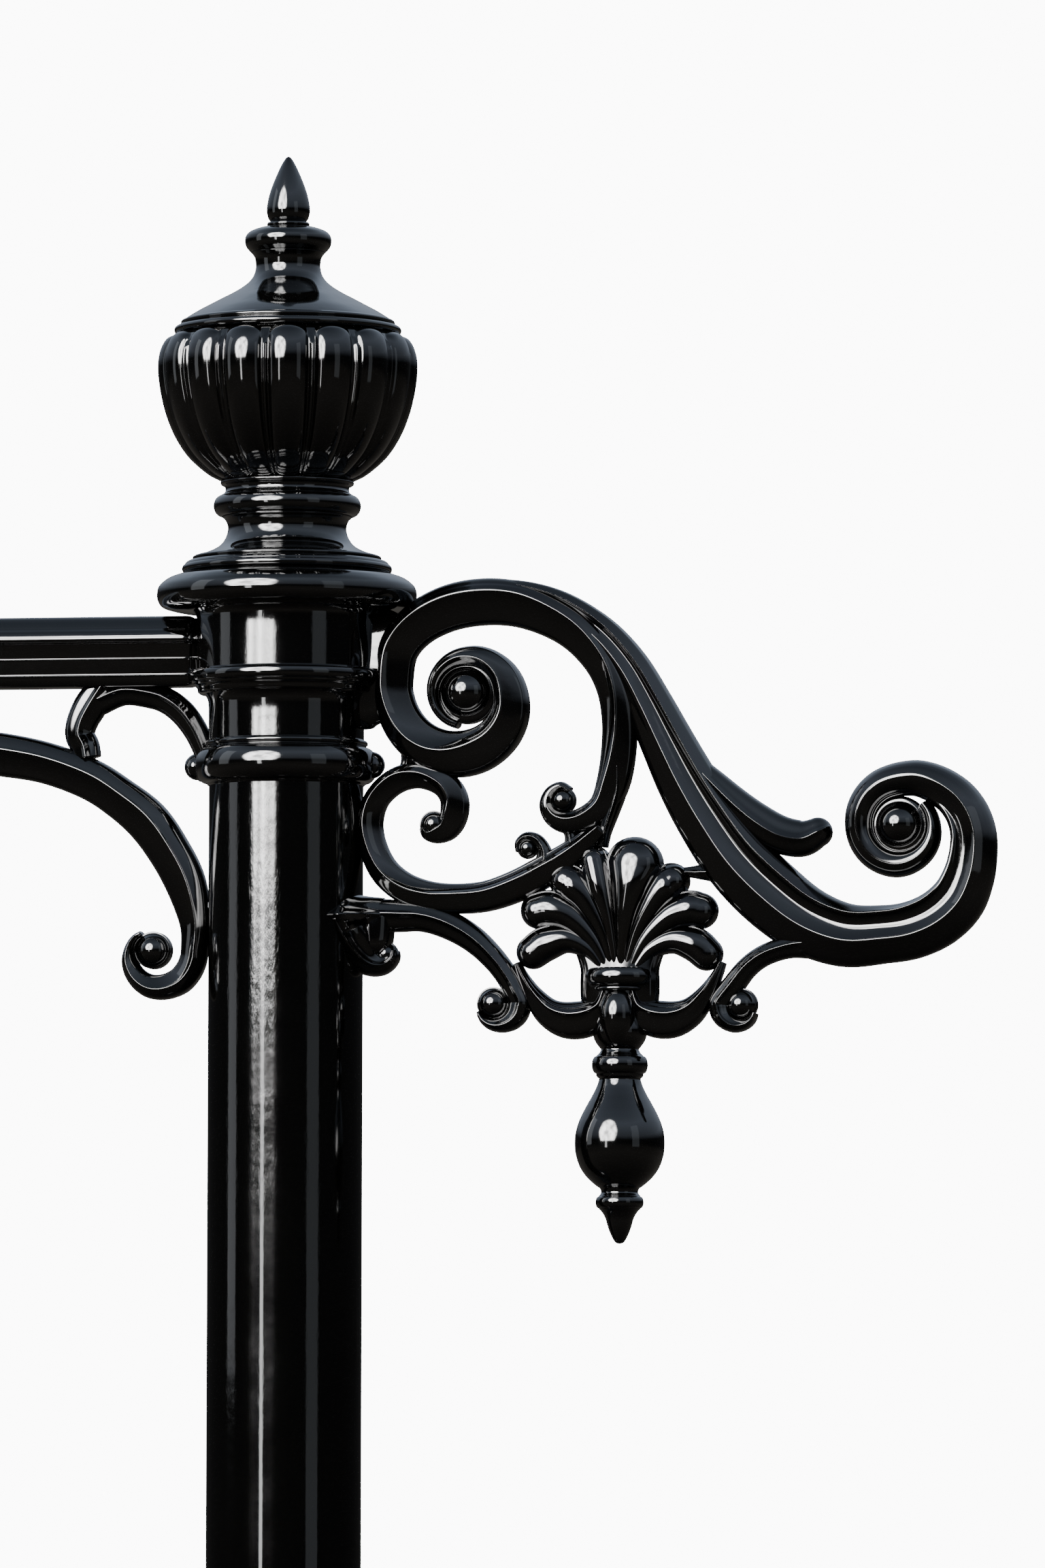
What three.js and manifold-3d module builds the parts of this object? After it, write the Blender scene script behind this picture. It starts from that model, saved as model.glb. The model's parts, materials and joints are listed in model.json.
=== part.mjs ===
// Head of an ornamental street post: a hollow column with turned rings, a fluted urn finial,
// a moulded rail with its arched brace on one side and a scroll bracket on the other.
//
// Frame: the column's axis is +Z, and the underside of the base flange is Z = 0.
// The bracket reaches along +X and the rail along -X, both centred on the plane Y = 0.
// All lengths are millimetres.

import * as THREE from "three";
import { mergeVertices } from "three/addons/utils/BufferGeometryUtils.js";
import Module from "manifold-3d";

const wasm = await Module();
wasm.setup();

// ---------------------------------------------------------------- driving dimensions

const CLEARANCE = 0.3; // left between pieces that touch

const COLUMN_R = 57;
const COLUMN_BORE = 51;
const COLUMN_TOP = 690;
const SPIGOT_R = 50; // tube inside the joint of column and head
const SPIGOT_BORE = 45;
const SPIGOT_FOOT = 600;
const HEAD_TOP = 831; // top face of the cornice

const FLANGE_R = 130;
const FLANGE_THICK = 14;
const FLANGE_HOLE_R = 7;
const FLANGE_HOLES_AT = 105; // radius of the hole circle

const ROD_R = 6; // tie rod that clamps the finial down
const FINIAL_BORE = ROD_R + CLEARANCE;
const LOBES = 16; // gadroons round the urn
const LOBE_DEPTH = 0.07; // crease depth as a share of the radius

const RAIL_Z = 774.7;
const RAIL_HEIGHT = 52.5;
const RAIL_DEPTH = 36;
const RAIL_END = -300;

const BAR_DEPTH = 32; // front to back of the bracket's scrollwork
const PENDANT_X = 249.9;
const SHELL_Z = 540; // where the shell's lobes spring from

// ---------------------------------------------------------------- solids from geometry

// Closed three.js geometry to a solid. A lathe or a mirrored bar can come out inside out,
// so such a surface is turned the right way round first.
function solid(geometry) {
  const bare = geometry.clone();
  bare.deleteAttribute("normal");
  bare.deleteAttribute("uv");
  const merged = mergeVertices(bare, 1e-4);
  const vertProperties = new Float32Array(merged.attributes.position.array);
  const corners = [];
  const index = merged.index.array;
  for (let i = 0; i < index.length; i += 3) {
    const [a, b, c] = [index[i], index[i + 1], index[i + 2]];
    if (a !== b && b !== c && c !== a) corners.push(a, b, c);
  }
  const made = (triVerts) => new wasm.Manifold(new wasm.Mesh({ numProp: 3, vertProperties, triVerts }));
  const first = made(new Uint32Array(corners));
  return first.volume() < 0 ? made(new Uint32Array(corners.reverse())) : first;
}

const join = (first, ...rest) => rest.reduce((sum, next) => sum.add(next), first);

// Half an ellipse from [inner, bottom] round to [inner, top]: the section of a turned bead.
function bead(inner, outer, bottom, top, points = 4) {
  return Array.from({ length: points }, (_, i) => {
    const angle = (i / (points - 1) - 0.5) * Math.PI;
    return [
      inner + (outer - inner) * Math.cos(angle),
      (bottom + top) / 2 + ((top - bottom) / 2) * Math.sin(angle),
    ];
  });
}

// Turned piece from [radius, height] points, bottom to top. A bore leaves it open round the axis.
function turned(profile, { bore = 0, segments = 24, grow = 0, x = 0, lobes = 0 } = {}) {
  const last = profile.length - 1;
  const outside = profile.map(([r, z], i) => [r + grow, z + (i === 0 ? -grow : i === last ? grow : 0)]);
  const inner = Math.max(bore - grow, 0);
  const ring = [[inner, outside[0][1]], ...outside, [inner, outside[last][1]]];
  if (inner > 0) ring.push(ring[0]);
  const lathe = new THREE.LatheGeometry(
    ring.map(([r, z]) => new THREE.Vector2(r, z)),
    segments,
  );
  const position = lathe.attributes.position;
  for (let i = 0; i < position.count; i++) {
    const [px, pz] = [position.getX(i), position.getZ(i)];
    if (!lobes || Math.hypot(px, pz) < inner + 1) continue;
    const crest = Math.abs(Math.sin((Math.atan2(px, pz) * lobes) / 2));
    const scale = 1 - LOBE_DEPTH * (1 - crest);
    position.setX(i, px * scale);
    position.setZ(i, pz * scale);
  }
  return solid(lathe.rotateX(Math.PI / 2).translate(x, 0, 0));
}

// Cylinder along X, for bolts: sides 6 gives a hexagon head.
function round(radius, from, to, z, sides = 8) {
  const length = to - from;
  const cylinder = new THREE.CylinderGeometry(radius, radius, length, sides);
  return solid(cylinder.rotateZ(Math.PI / 2).translate(from + length / 2, 0, z));
}

function ball([x, z], radius, grow = 0) {
  return solid(new THREE.SphereGeometry(radius + grow, 10, 6).rotateX(Math.PI / 2).translate(x, 0, z));
}

// Points of a spiral centreline round an eye, each [x, z, width]. Angles are degrees from +X
// towards +Z, and the radius shrinks by the same share for each degree turned.
function curl({ eye, radii, angles, widths, points = 9 }) {
  return Array.from({ length: points }, (_, i) => {
    const t = i / (points - 1);
    const radius = radii[0] * (radii[1] / radii[0]) ** t;
    const angle = THREE.MathUtils.degToRad(THREE.MathUtils.lerp(angles[0], angles[1], t));
    return [
      eye[0] + radius * Math.cos(angle),
      eye[1] + radius * Math.sin(angle),
      THREE.MathUtils.lerp(widths[0], widths[1], t),
    ];
  });
}

// Tapering bar swept along a centreline in the XZ plane. Each path point is [x, z, width],
// and depth is the bar's size along Y, at its start and at its end.
function bar(path, { depth = [BAR_DEPTH, BAR_DEPTH], steps = 24, sides = 8, grow = 0 } = {}) {
  const curve = new THREE.CatmullRomCurve3(path.map(([x, z, width]) => new THREE.Vector3(x, width, z)));
  const tube = new THREE.CylinderGeometry(1, 1, 1, sides, steps);
  const position = tube.attributes.position;
  for (let i = 0; i < position.count; i++) {
    const t = position.getY(i) + 0.5;
    const centre = curve.getPointAt(t);
    const tangent = curve.getTangentAt(t).setY(0).normalize();
    const end = t === 0 ? -grow : t === 1 ? grow : 0;
    const across = position.getX(i) * (centre.y / 2 + grow);
    const deep = position.getZ(i) * (THREE.MathUtils.lerp(depth[0], depth[1], t) / 2 + grow);
    position.setXYZ(
      i,
      centre.x - tangent.z * across + tangent.x * end,
      deep,
      centre.z + tangent.x * across + tangent.z * end,
    );
  }
  return solid(tube);
}

const mirrored = (path) => path.map(([x, z, width]) => [2 * PENDANT_X - x, z, width]);

// ---------------------------------------------------------------- scrollwork centrelines

const VOLUTE_EYE = [135.6, 741.9];
const volutePath = [
  [206.6, 667.5, 8],
  [198.6, 658.6, 11],
  [208.6, 647, 16],
  [230.5, 652.2, 19],
  [246.5, 677, 23],
  [250.5, 715, 24],
  [239.5, 760.1, 26],
  [213.6, 788.4, 29],
  [178.6, 804.8, 31],
  [144.6, 809.3, 33],
  [113.5, 802.6, 32],
  [91.5, 781.9, 30],
  ...curl({ eye: VOLUTE_EYE, radii: [54, 24], angles: [184, 520], widths: [28, 10], points: 10 }),
];

const ARM_EYE = [457.1, 641.5];
const armPath = [
  [142.6, 821.3, 10],
  [182.6, 814.8, 15],
  [218.6, 797.4, 20],
  [248.5, 767, 26],
  [278.4, 717.6, 34],
  [300.3, 671.4, 42],
  [326.2, 631.1, 48],
  [356, 596.7, 49],
  [391.7, 570.3, 49],
  [433.3, 559.2, 46],
  [476.9, 567.2, 43],
  ...curl({ eye: ARM_EYE, radii: [68, 23], angles: [-40, 290], widths: [38, 15], points: 11 }),
];

const leafPath = [
  [272.4, 748.7, 8],
  [290.3, 718.5, 12],
  [304.3, 697.3, 15],
  [325.2, 666.1, 20],
  [347, 642.8, 24],
  [369.9, 631.5, 26],
  [385.8, 633.3, 24],
  [395.7, 639.2, 18],
];

const LOWER_EYE = [112.5, 644.6];
const lowerScrollPath = [
  [118.5, 643.6, 10],
  [126.5, 656.5, 15],
  [119.5, 672.6, 17],
  [101.5, 678.8, 16],
  [81.4, 674, 16],
  [68.4, 659.2, 16],
  [65.4, 642.2, 16],
  [71.4, 621.1, 17],
  [88.4, 604.9, 18],
  [111.5, 596.7, 19],
  [137.6, 596.3, 20],
  [165.6, 603, 22],
  [190.6, 614.7, 21],
  [213.6, 627.4, 19],
  [232.5, 640.2, 14],
];

const tendrilPath = [
  [188.6, 612.7, 8],
  [192.6, 625.7, 9],
  [185.6, 633.8, 8],
  [178.6, 631.8, 8],
];

const LOWER_ARM_EYE = [156.6, 511.1];
const lowerArmPath = [
  [66.4, 578.2, 26],
  [84.4, 577, 25],
  [103.5, 575.8, 21],
  [124.5, 569.5, 20],
  [144.6, 556.3, 20],
  [161.6, 539.1, 20],
  [170.6, 521.9, 18],
  [167.6, 506, 16],
  [158.6, 503.1, 12],
];

const cuffLeafPath = [
  [47.3, 567.4, 14],
  [53.3, 552.4, 18],
  [65.4, 543.2, 15],
  [77.4, 545.1, 12],
  [78.4, 551.1, 10],
];

const sideArmPath = [
  [238.5, 517.1, 12],
  [229.5, 501.2, 22],
  [212.6, 495.4, 19],
  [196.6, 501.6, 17],
  [183.6, 518.8, 12],
  [176.6, 535.9, 9],
];

const RIGHT_EYE = [340.1, 508.9];
const rightScrollPath = [
  [382.8, 555.4, 14],
  [365.9, 553.6, 15],
  [351, 546.8, 14],
  [337.1, 533.9, 14],
  [330.1, 519, 14],
  [334.1, 505, 14],
  [342.1, 503.9, 11],
];

const BRACE_EYE = [-100.4, 554.2];
const bracePath = [
  [-295.6, 747.5, 30],
  [-281.3, 717.4, 31],
  [-252.9, 702, 32],
  [-216.3, 698.6, 32],
  [-184.9, 693.2, 30],
  [-154.5, 682.9, 29],
  [-128.2, 667.5, 28],
  [-104.9, 648.3, 28],
  [-87.7, 624.1, 26],
  [-76.6, 597.9, 22],
  [-70.6, 571.8, 19],
  [-71.6, 550.9, 19],
  [-77.6, 533.9, 18],
  [-91.8, 526.1, 17],
  [-107.9, 531.3, 15],
  [-114, 545.4, 13],
  [-110, 555.3, 11],
];

const smallArchPath = [
  [-67.5, 690.8, 13],
  [-66.5, 706.8, 13],
  [-76.6, 725.9, 13],
  [-94.8, 738.1, 14],
  [-119.1, 742.4, 13],
  [-151.4, 742.8, 12],
];

const kneePath = [
  [-144.3, 738.7, 20],
  [-154.5, 728.9, 18],
  [-157.5, 713.9, 17],
  [-150.4, 693.8, 22],
];

// ---------------------------------------------------------------- turned pieces

const boredHead = { bore: SPIGOT_R + CLEARANCE };
const boredFinial = { bore: FINIAL_BORE };

function baseFlange(grow) {
  const disc = turned([[FLANGE_R, 0], [FLANGE_R, FLANGE_THICK]], { segments: 72, grow });
  return [45, 135, 225, 315].reduce((plate, degrees) => {
    const angle = THREE.MathUtils.degToRad(degrees);
    const hole = new THREE.CylinderGeometry(FLANGE_HOLE_R, FLANGE_HOLE_R, 4 * FLANGE_THICK, 12)
      .rotateX(Math.PI / 2)
      .translate(FLANGE_HOLES_AT * Math.cos(angle), FLANGE_HOLES_AT * Math.sin(angle), 0);
    return plate.subtract(solid(hole));
  }, disc);
}

const footMoulding = [[86, 14], [86, 20], [78, 26], ...bead(66, 74, 30, 42), [62, 46], [60, 56]];
const column = [[COLUMN_R, FLANGE_THICK], [COLUMN_R, COLUMN_TOP]];
const spigot = [[SPIGOT_R, SPIGOT_FOOT], [SPIGOT_R, HEAD_TOP - 9]];
const lowerRing = [...bead(62, 71.5, 676, 704)];
const neckSleeve = [[57.5, COLUMN_TOP], [57.5, 736], [60, 743]];
const middleRing = [...bead(64, 71.5, 743, 760)];
const drum = [[66.5, 760], [66.5, 797], [69, 805]];
const cornice = [...bead(86, 96, 805, 828), [84, HEAD_TOP]];
const capPlate = [[48, HEAD_TOP - 9], [48, HEAD_TOP - 1]];

const finialBase = [[76.7, 831], [76.7, 839], [68, 843], [53, 849], [44, 863], [47, 873.2]];
const neckRing = [...bead(46, 54.5, 873.2, 889.5), [45.7, 893.6], [48.7, 897.7]];
const urnBowl = [
  [48.7, 897.7], [66, 911], [84, 934.5], [93.5, 961.1], [96, 983.6], [94, 995.9], [85, 1006.1],
];
const urnHollow = [[36, 913.1], [66, 933.5], [79, 962.1], [79, 1013.3]];
const urnLid = [[83.5, 1006.1], [83.5, 1012.2], [75, 1020.4], [52, 1032.7], [36.7, 1040.9], [25, 1054.2], [26, 1069.5]];
const lidKnob = [...bead(24, 32, 1069.5, 1085.9), [17, 1090]];
const spire = [[13, 1090], [16, 1100.2], [13.7, 1114.5], [9, 1126.8], [2.8, 1139], [0.5, 1141.1]];
const tieRod = [[ROD_R, 800], [ROD_R, 1105]];
const tieRodNut = [[11, 806], [11, 817]];
const tieRodWasher = [[17, 817], [17, HEAD_TOP - 9]];

const pendant = [
  [3, 336], [7, 343], [10.5, 355], [17.5, 367], [14, 375], [22.7, 383], [30.2, 395], [33, 407],
  [31.7, 419], [25.5, 435], [16.5, 451], ...bead(15.5, 20.5, 461, 477), [14, 479],
];
const pendantStud = [[5, 462], [5, 497]];
const bud = [[14, 479], [19.2, 486], [13.5, 492], [10, 498], [11, 508], [8, 520], [4, 525]];

// ---------------------------------------------------------------- cast pieces

// Bolt along X: hexagon head from head to shank, then the shank to its end.
function bolt(head, shank, end, z, grow) {
  const out = Math.sign(end) * grow;
  const span = (from, to) => [from - out, to + out].sort((a, b) => a - b);
  return join(round(9 + grow, ...span(head, shank), z, 6), round(5 + grow, ...span(shank, end), z));
}

// Moulded handrail section, drawn in YZ and extruded along X from its far end to the drum.
function rail(grow) {
  const [half, top, bottom] = [RAIL_DEPTH / 2 + grow, RAIL_HEIGHT / 2 + grow, -RAIL_HEIGHT / 2 - grow];
  const outline = new THREE.Shape();
  outline.moveTo(-half + 5, bottom);
  outline.lineTo(-half + 5, bottom + 8);
  outline.quadraticCurveTo(-half - 1, bottom + 19, -half, bottom + 25);
  outline.lineTo(-half + 4, bottom + 40);
  outline.quadraticCurveTo(-half + 4, top, -half + 12, top);
  outline.lineTo(half - 12, top);
  outline.quadraticCurveTo(half - 4, top, half - 4, bottom + 40);
  outline.lineTo(half, bottom + 25);
  outline.quadraticCurveTo(half + 1, bottom + 19, half - 5, bottom + 8);
  outline.lineTo(half - 5, bottom);
  const length = -50 - RAIL_END + grow;
  const settings = { depth: length, bevelEnabled: false, curveSegments: 3 };
  const extruded = new THREE.ExtrudeGeometry(outline, settings);
  // local X, Y, Z of the extrusion become Y, Z, X of the part
  const turn = new THREE.Matrix4().makeBasis(
    new THREE.Vector3(0, 1, 0),
    new THREE.Vector3(0, 0, 1),
    new THREE.Vector3(1, 0, 0),
  );
  return solid(extruded.applyMatrix4(turn).translate(RAIL_END - grow, 0, RAIL_Z));
}

function railSpigot(grow) {
  const length = 70 + 2 * grow;
  const block = new THREE.BoxGeometry(length, RAIL_DEPTH - 16 + 2 * grow, RAIL_HEIGHT - 20 + 2 * grow);
  return solid(block.translate(RAIL_END, 0, RAIL_Z - 2));
}

function voluteScroll(grow) {
  const tailPath = [[246.5, 669, 16], [243.5, 652, 12], [238.5, 631, 7]];
  const tail = bar(tailPath, { depth: [26, 18], steps: 5, grow });
  const lug = bar([[58, 736, 34], [82, 738, 26]], { steps: 2, grow });
  const band = bar(volutePath, { depth: [14, BAR_DEPTH], steps: 44, grow });
  return join(band, tail, lug, ball(VOLUTE_EYE, 19, grow), ball([206.6, 665.5], 7, grow));
}

function sArm(grow) {
  return join(bar(armPath, { depth: [24, BAR_DEPTH], steps: 40, grow }), ball(ARM_EYE, 18.5, grow));
}

function leaf(grow) {
  return join(bar(leafPath, { depth: [10, 26], steps: 9, sides: 6, grow }), ball([395.7, 639.2], 9, grow));
}

function lowerScroll(grow) {
  const scroll = bar(lowerScrollPath, { depth: [22, 26], steps: 26, sides: 6, grow });
  return join(scroll, ball(LOWER_EYE, 11, grow));
}

function tendril(grow) {
  const hook = bar(tendrilPath, { depth: [14, 12], steps: 5, sides: 6, grow });
  return join(hook, ball([178.6, 625.8], 6.5, grow));
}

function lowerArm(grow) {
  return join(bar(lowerArmPath, { depth: [28, 22], steps: 14, grow }), ball(LOWER_ARM_EYE, 12, grow));
}

function sideArm(path, grow) {
  return bar(path, { depth: [24, 20], steps: 9, sides: 6, grow });
}

function rightScroll(grow) {
  const scroll = bar(rightScrollPath, { depth: [24, 22], steps: 10, sides: 6, grow });
  return join(scroll, ball(RIGHT_EYE, 11.5, grow));
}

function braceArch(grow) {
  return join(bar(bracePath, { depth: [30, 26], steps: 30, grow }), ball(BRACE_EYE, 12, grow));
}

// Bell mouth that seats the lower arm on the column, narrowing away from it.
function postCuff(grow) {
  const mouthPath = [[42, 577.5, 24], [54, 577.5, 24], [62, 577.5, 27], [69, 578, 30]];
  return bar(mouthPath, { depth: [50, 30], steps: 4, grow });
}

function cuffLeaf(grow) {
  return join(bar(cuffLeafPath, { depth: [30, 18], steps: 7, sides: 6, grow }), ball([75.4, 551.1], 8, grow));
}

// Scallop shell: lobes fan out from its foot, and the upper ones are longer.
function shell(grow) {
  const lobes = [[8, 76], [30, 80], [52, 85], [77, 93]].flatMap(([angle, reach]) => [
    [angle, reach],
    [180 - angle, reach],
  ]);
  const petals = lobes.map(([angle, reach]) => {
    const [c, s] = [Math.cos(THREE.MathUtils.degToRad(angle)), Math.sin(THREE.MathUtils.degToRad(angle))];
    const along = (share, width) => [PENDANT_X + c * reach * share, SHELL_Z + s * reach * share, width];
    const sag = (share) => (angle < 20 || angle > 160 ? 10 * share * share : 0);
    const path = [along(0, 10), along(0.45, 20), along(0.8, 29), along(1, 12)];
    const sagging = path.map(([x, z, width], i) => [x, z - sag(i / 3), width]);
    return bar(sagging, { depth: [34, 24], steps: 3, sides: 6, grow });
  });
  return join(...petals);
}

function shellBand(grow) {
  const ring = new THREE.CylinderGeometry(1, 1, 12.5 + 2 * grow, 12, 1);
  ring.rotateX(Math.PI / 2).scale(25.6 + grow, 20 + grow, 1).translate(PENDANT_X, 0, 531.6);
  return solid(ring);
}

// ---------------------------------------------------------------- the pieces, in order of fitting

const gloss = new THREE.MeshStandardMaterial({ color: 0x0b0b0d, roughness: 0.18, metalness: 0.0 });
const steel = new THREE.MeshStandardMaterial({ color: 0x8a8d90, roughness: 0.4, metalness: 1.0 });

// Each entry is [name, solid for a given growth, material]. A piece is cut back from the grown
// forms of all the pieces before it, so fixings come first and the lightest ornament last.
const pieces = [
  ["tie_rod", (grow) => turned(tieRod, { segments: 8, grow }), steel],
  ["tie_rod_nut", (grow) => turned(tieRodNut, { bore: FINIAL_BORE, segments: 6, grow }), steel],
  ["tie_rod_washer", (grow) => turned(tieRodWasher, { bore: FINIAL_BORE, segments: 12, grow }), steel],
  ["pendant_stud", (grow) => turned(pendantStud, { segments: 8, x: PENDANT_X, grow }), steel],
  ["bracket_bolt_upper", (grow) => bolt(34, 41, 84, 752, grow), steel],
  ["bracket_bolt_lower", (grow) => bolt(39, 47, 92, 579, grow), steel],
  ["rail_bolt", (grow) => bolt(-34, -41, -104, RAIL_Z, grow), steel],
  ["brace_bolt", (grow) => bolt(-38, -46, -76, 585, grow), steel],
  ["spigot_tube", (grow) => turned(spigot, { bore: SPIGOT_BORE, grow }), steel],
  ["base_flange", baseFlange, gloss],
  ["column_tube", (grow) => turned(column, { bore: COLUMN_BORE, grow }), gloss],
  ["foot_moulding", (grow) => turned(footMoulding, { bore: COLUMN_R + CLEARANCE, grow }), gloss],
  ["lower_ring", (grow) => turned(lowerRing, { bore: COLUMN_R + 1, grow }), gloss],
  ["neck_sleeve", (grow) => turned(neckSleeve, { ...boredHead, grow }), gloss],
  ["middle_ring", (grow) => turned(middleRing, { ...boredHead, grow }), gloss],
  ["drum", (grow) => turned(drum, { ...boredHead, grow }), gloss],
  ["cornice", (grow) => turned(cornice, { ...boredHead, grow }), gloss],
  ["cap_plate", (grow) => turned(capPlate, { bore: FINIAL_BORE, grow }), steel],
  ["finial_base", (grow) => turned(finialBase, { ...boredFinial, grow }), gloss],
  ["neck_ring", (grow) => turned(neckRing, { ...boredFinial, grow }), gloss],
  ["urn_bowl", urn, gloss],
  ["urn_lid", (grow) => turned(urnLid, { ...boredFinial, grow }), gloss],
  ["lid_knob", (grow) => turned(lidKnob, { ...boredFinial, segments: 20, grow }), gloss],
  ["spire", (grow) => turned(spire, { segments: 16, grow }), gloss],
  ["rail_spigot", railSpigot, steel],
  ["rail", rail, gloss],
  ["brace_arch", braceArch, gloss],
  ["small_arch", (grow) => bar(smallArchPath, { depth: [22, 22], steps: 9, sides: 6, grow }), gloss],
  ["brace_knuckle", (grow) => bar(kneePath, { depth: [24, 24], steps: 4, sides: 6, grow }), gloss],
  ["volute_scroll", voluteScroll, gloss],
  ["s_arm", sArm, gloss],
  ["leaf", leaf, gloss],
  ["post_cuff", postCuff, gloss],
  ["lower_arm", lowerArm, gloss],
  ["cuff_leaf", cuffLeaf, gloss],
  ["lower_scroll", lowerScroll, gloss],
  ["tendril", tendril, gloss],
  ["shell_band", shellBand, gloss],
  ["bud", (grow) => turned(bud, { segments: 16, x: PENDANT_X, grow }), gloss],
  ["pendant", (grow) => turned(pendant, { segments: 16, x: PENDANT_X, grow }), gloss],
  ["shell", shell, gloss],
  ["side_arm_left", (grow) => sideArm(sideArmPath, grow), gloss],
  ["side_arm_right", (grow) => sideArm(mirrored(sideArmPath), grow), gloss],
  ["right_scroll", rightScroll, gloss],
];

// Fluted bowl, hollow and open at the top where the lid covers it.
function urn(grow) {
  const bowl = turned(urnBowl, { segments: 3 * LOBES, lobes: LOBES, bore: FINIAL_BORE, grow });
  return grow ? bowl : bowl.subtract(turned(urnHollow, { segments: 16 }));
}

function overlap(a, b) {
  const [p, q] = [a.boundingBox(), b.boundingBox()];
  return [0, 1, 2].every((i) => p.min[i] < q.max[i] && q.min[i] < p.max[i]);
}

// The largest body that is left when the earlier pieces have taken their room.
function fitted(made, earlier) {
  const touching = earlier.filter((other) => overlap(made, other));
  const rest = touching.reduce((left, other) => left.subtract(other), made);
  return rest.decompose().sort((a, b) => b.volume() - a.volume())[0];
}

function meshOf(name, made, material) {
  const { vertProperties, triVerts } = made.getMesh();
  const geometry = new THREE.BufferGeometry();
  geometry.setAttribute("position", new THREE.BufferAttribute(new Float32Array(vertProperties), 3));
  geometry.setIndex(new THREE.BufferAttribute(new Uint32Array(triVerts), 1));
  const mesh = new THREE.Mesh(geometry, material.clone());
  mesh.name = name;
  return mesh;
}

const group = new THREE.Group();
const taken = [];
for (const [name, make, material] of pieces) {
  group.add(meshOf(name, fitted(make(0), taken), material));
  taken.push(make(CLEARANCE));
}

export default group;
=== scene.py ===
# %% [markdown]
# # Head of an ornamental street post
# A hollow cast column carries turned rings and a fluted urn. A moulded rail with an arched brace
# leaves it on one side, and a scroll bracket with a shell and a turned pendant on the other.
# Everything is black gloss enamel on cast iron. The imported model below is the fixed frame: it gives
# every size and place, and each new surface here stands for one or more of its nodes.

# %% Load the frame
import json
import math

import bpy
import numpy as np
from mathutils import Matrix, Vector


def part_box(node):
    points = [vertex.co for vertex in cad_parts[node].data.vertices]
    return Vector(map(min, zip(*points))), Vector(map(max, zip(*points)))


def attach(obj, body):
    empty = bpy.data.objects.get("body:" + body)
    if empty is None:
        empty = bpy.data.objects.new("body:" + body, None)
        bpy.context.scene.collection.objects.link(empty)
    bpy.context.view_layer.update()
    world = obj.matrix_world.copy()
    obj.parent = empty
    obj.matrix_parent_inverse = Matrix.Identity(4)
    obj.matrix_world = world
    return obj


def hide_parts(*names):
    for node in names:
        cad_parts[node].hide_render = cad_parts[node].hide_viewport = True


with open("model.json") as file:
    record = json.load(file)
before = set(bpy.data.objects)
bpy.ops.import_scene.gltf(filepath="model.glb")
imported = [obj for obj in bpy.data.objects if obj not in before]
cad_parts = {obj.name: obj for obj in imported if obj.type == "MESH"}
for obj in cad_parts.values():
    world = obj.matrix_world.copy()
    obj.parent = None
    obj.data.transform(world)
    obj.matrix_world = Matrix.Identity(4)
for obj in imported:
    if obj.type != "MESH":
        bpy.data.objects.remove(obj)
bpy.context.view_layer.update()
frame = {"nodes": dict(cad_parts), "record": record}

MM = 0.001
print("nodes in the frame:", len(frame["nodes"]))

# %% [markdown]
# ## Camera
# The post is seen from a little to the right of square-on and from low down, with a long lens, so
# that the turned parts keep their true outlines. The numbers are the viewing angle, the distance
# and the height of the view at the post.

# %% Camera
VIEW_AZIMUTH, VIEW_RISE = math.radians(10), math.radians(4)
VIEW_DISTANCE, VIEW_HEIGHT, SENSOR = 9.0, 1.152, 36.0
VIEW_ROLL = math.radians(-0.14)
VIEW_TARGET = (0.1785, 0.0, 0.674)


def aim_camera(target):
    """Camera at VIEW_DISTANCE from the target, below its level by VIEW_RISE, looking at it."""
    back = np.array([
        math.sin(VIEW_AZIMUTH) * math.cos(VIEW_RISE),
        -math.cos(VIEW_AZIMUTH) * math.cos(VIEW_RISE),
        -math.sin(VIEW_RISE),
    ])
    data = bpy.data.cameras.new("view")
    data.sensor_width = SENSOR
    data.lens = SENSOR * VIEW_DISTANCE / VIEW_HEIGHT
    camera = bpy.data.objects.new("view", data)
    bpy.context.scene.collection.objects.link(camera)
    camera.location = np.array(target) + back * VIEW_DISTANCE
    camera.rotation_euler = (math.pi / 2 + VIEW_RISE, VIEW_ROLL, VIEW_AZIMUTH)
    data.dof.use_dof = False
    bpy.context.scene.camera = camera
    return camera


camera = aim_camera(VIEW_TARGET)
print("lens in mm:", round(camera.data.lens, 1))

# %% [markdown]
# ## Curves through a few points
# Every outline starts as a handful of points. A Catmull-Rom curve passes through all of them, and
# each sample on it is a weighted sum of four neighbours. Working the weights out once as a matrix
# lets one product smooth an outline, a centreline or a whole family of sections.


# %% Smooth curves
def spline_weights(count, per, closed=False):
    """Matrix W so that W @ points lies on the Catmull-Rom curve through the points.

    Between points i and i+1, at share t, the weights of points i-1 to i+2 are
    (-t + 2t^2 - t^3)/2, (2 - 5t^2 + 3t^3)/2, (t + 4t^2 - 3t^3)/2 and (-t^2 + t^3)/2.
    An open curve repeats its end points, and a closed one wraps round.
    """
    spans = count if closed else count - 1
    at = np.linspace(0, spans, spans * per + (0 if closed else 1), endpoint=not closed)
    i = np.minimum(at.astype(int), spans - 1)
    t = at - i
    parts = (
        (-t + 2 * t**2 - t**3) / 2,
        (2 - 5 * t**2 + 3 * t**3) / 2,
        (t + 4 * t**2 - 3 * t**3) / 2,
        (-(t**2) + t**3) / 2,
    )
    weights = np.zeros((len(at), count))
    for step, part in zip((-1, 0, 1, 2), parts):
        j = i + step
        j = j % count if closed else np.clip(j, 0, count - 1)
        np.add.at(weights, (np.arange(len(at)), j), part)
    return weights


def flow(points, per=8):
    """Smooth open curve through the points."""
    points = np.asarray(points, float)
    return spline_weights(len(points), per) @ points


print("a curve through 4 points, 8 samples a span:", flow([[0, 0], [1, 2], [3, 2], [4, 0]]).shape)

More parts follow.
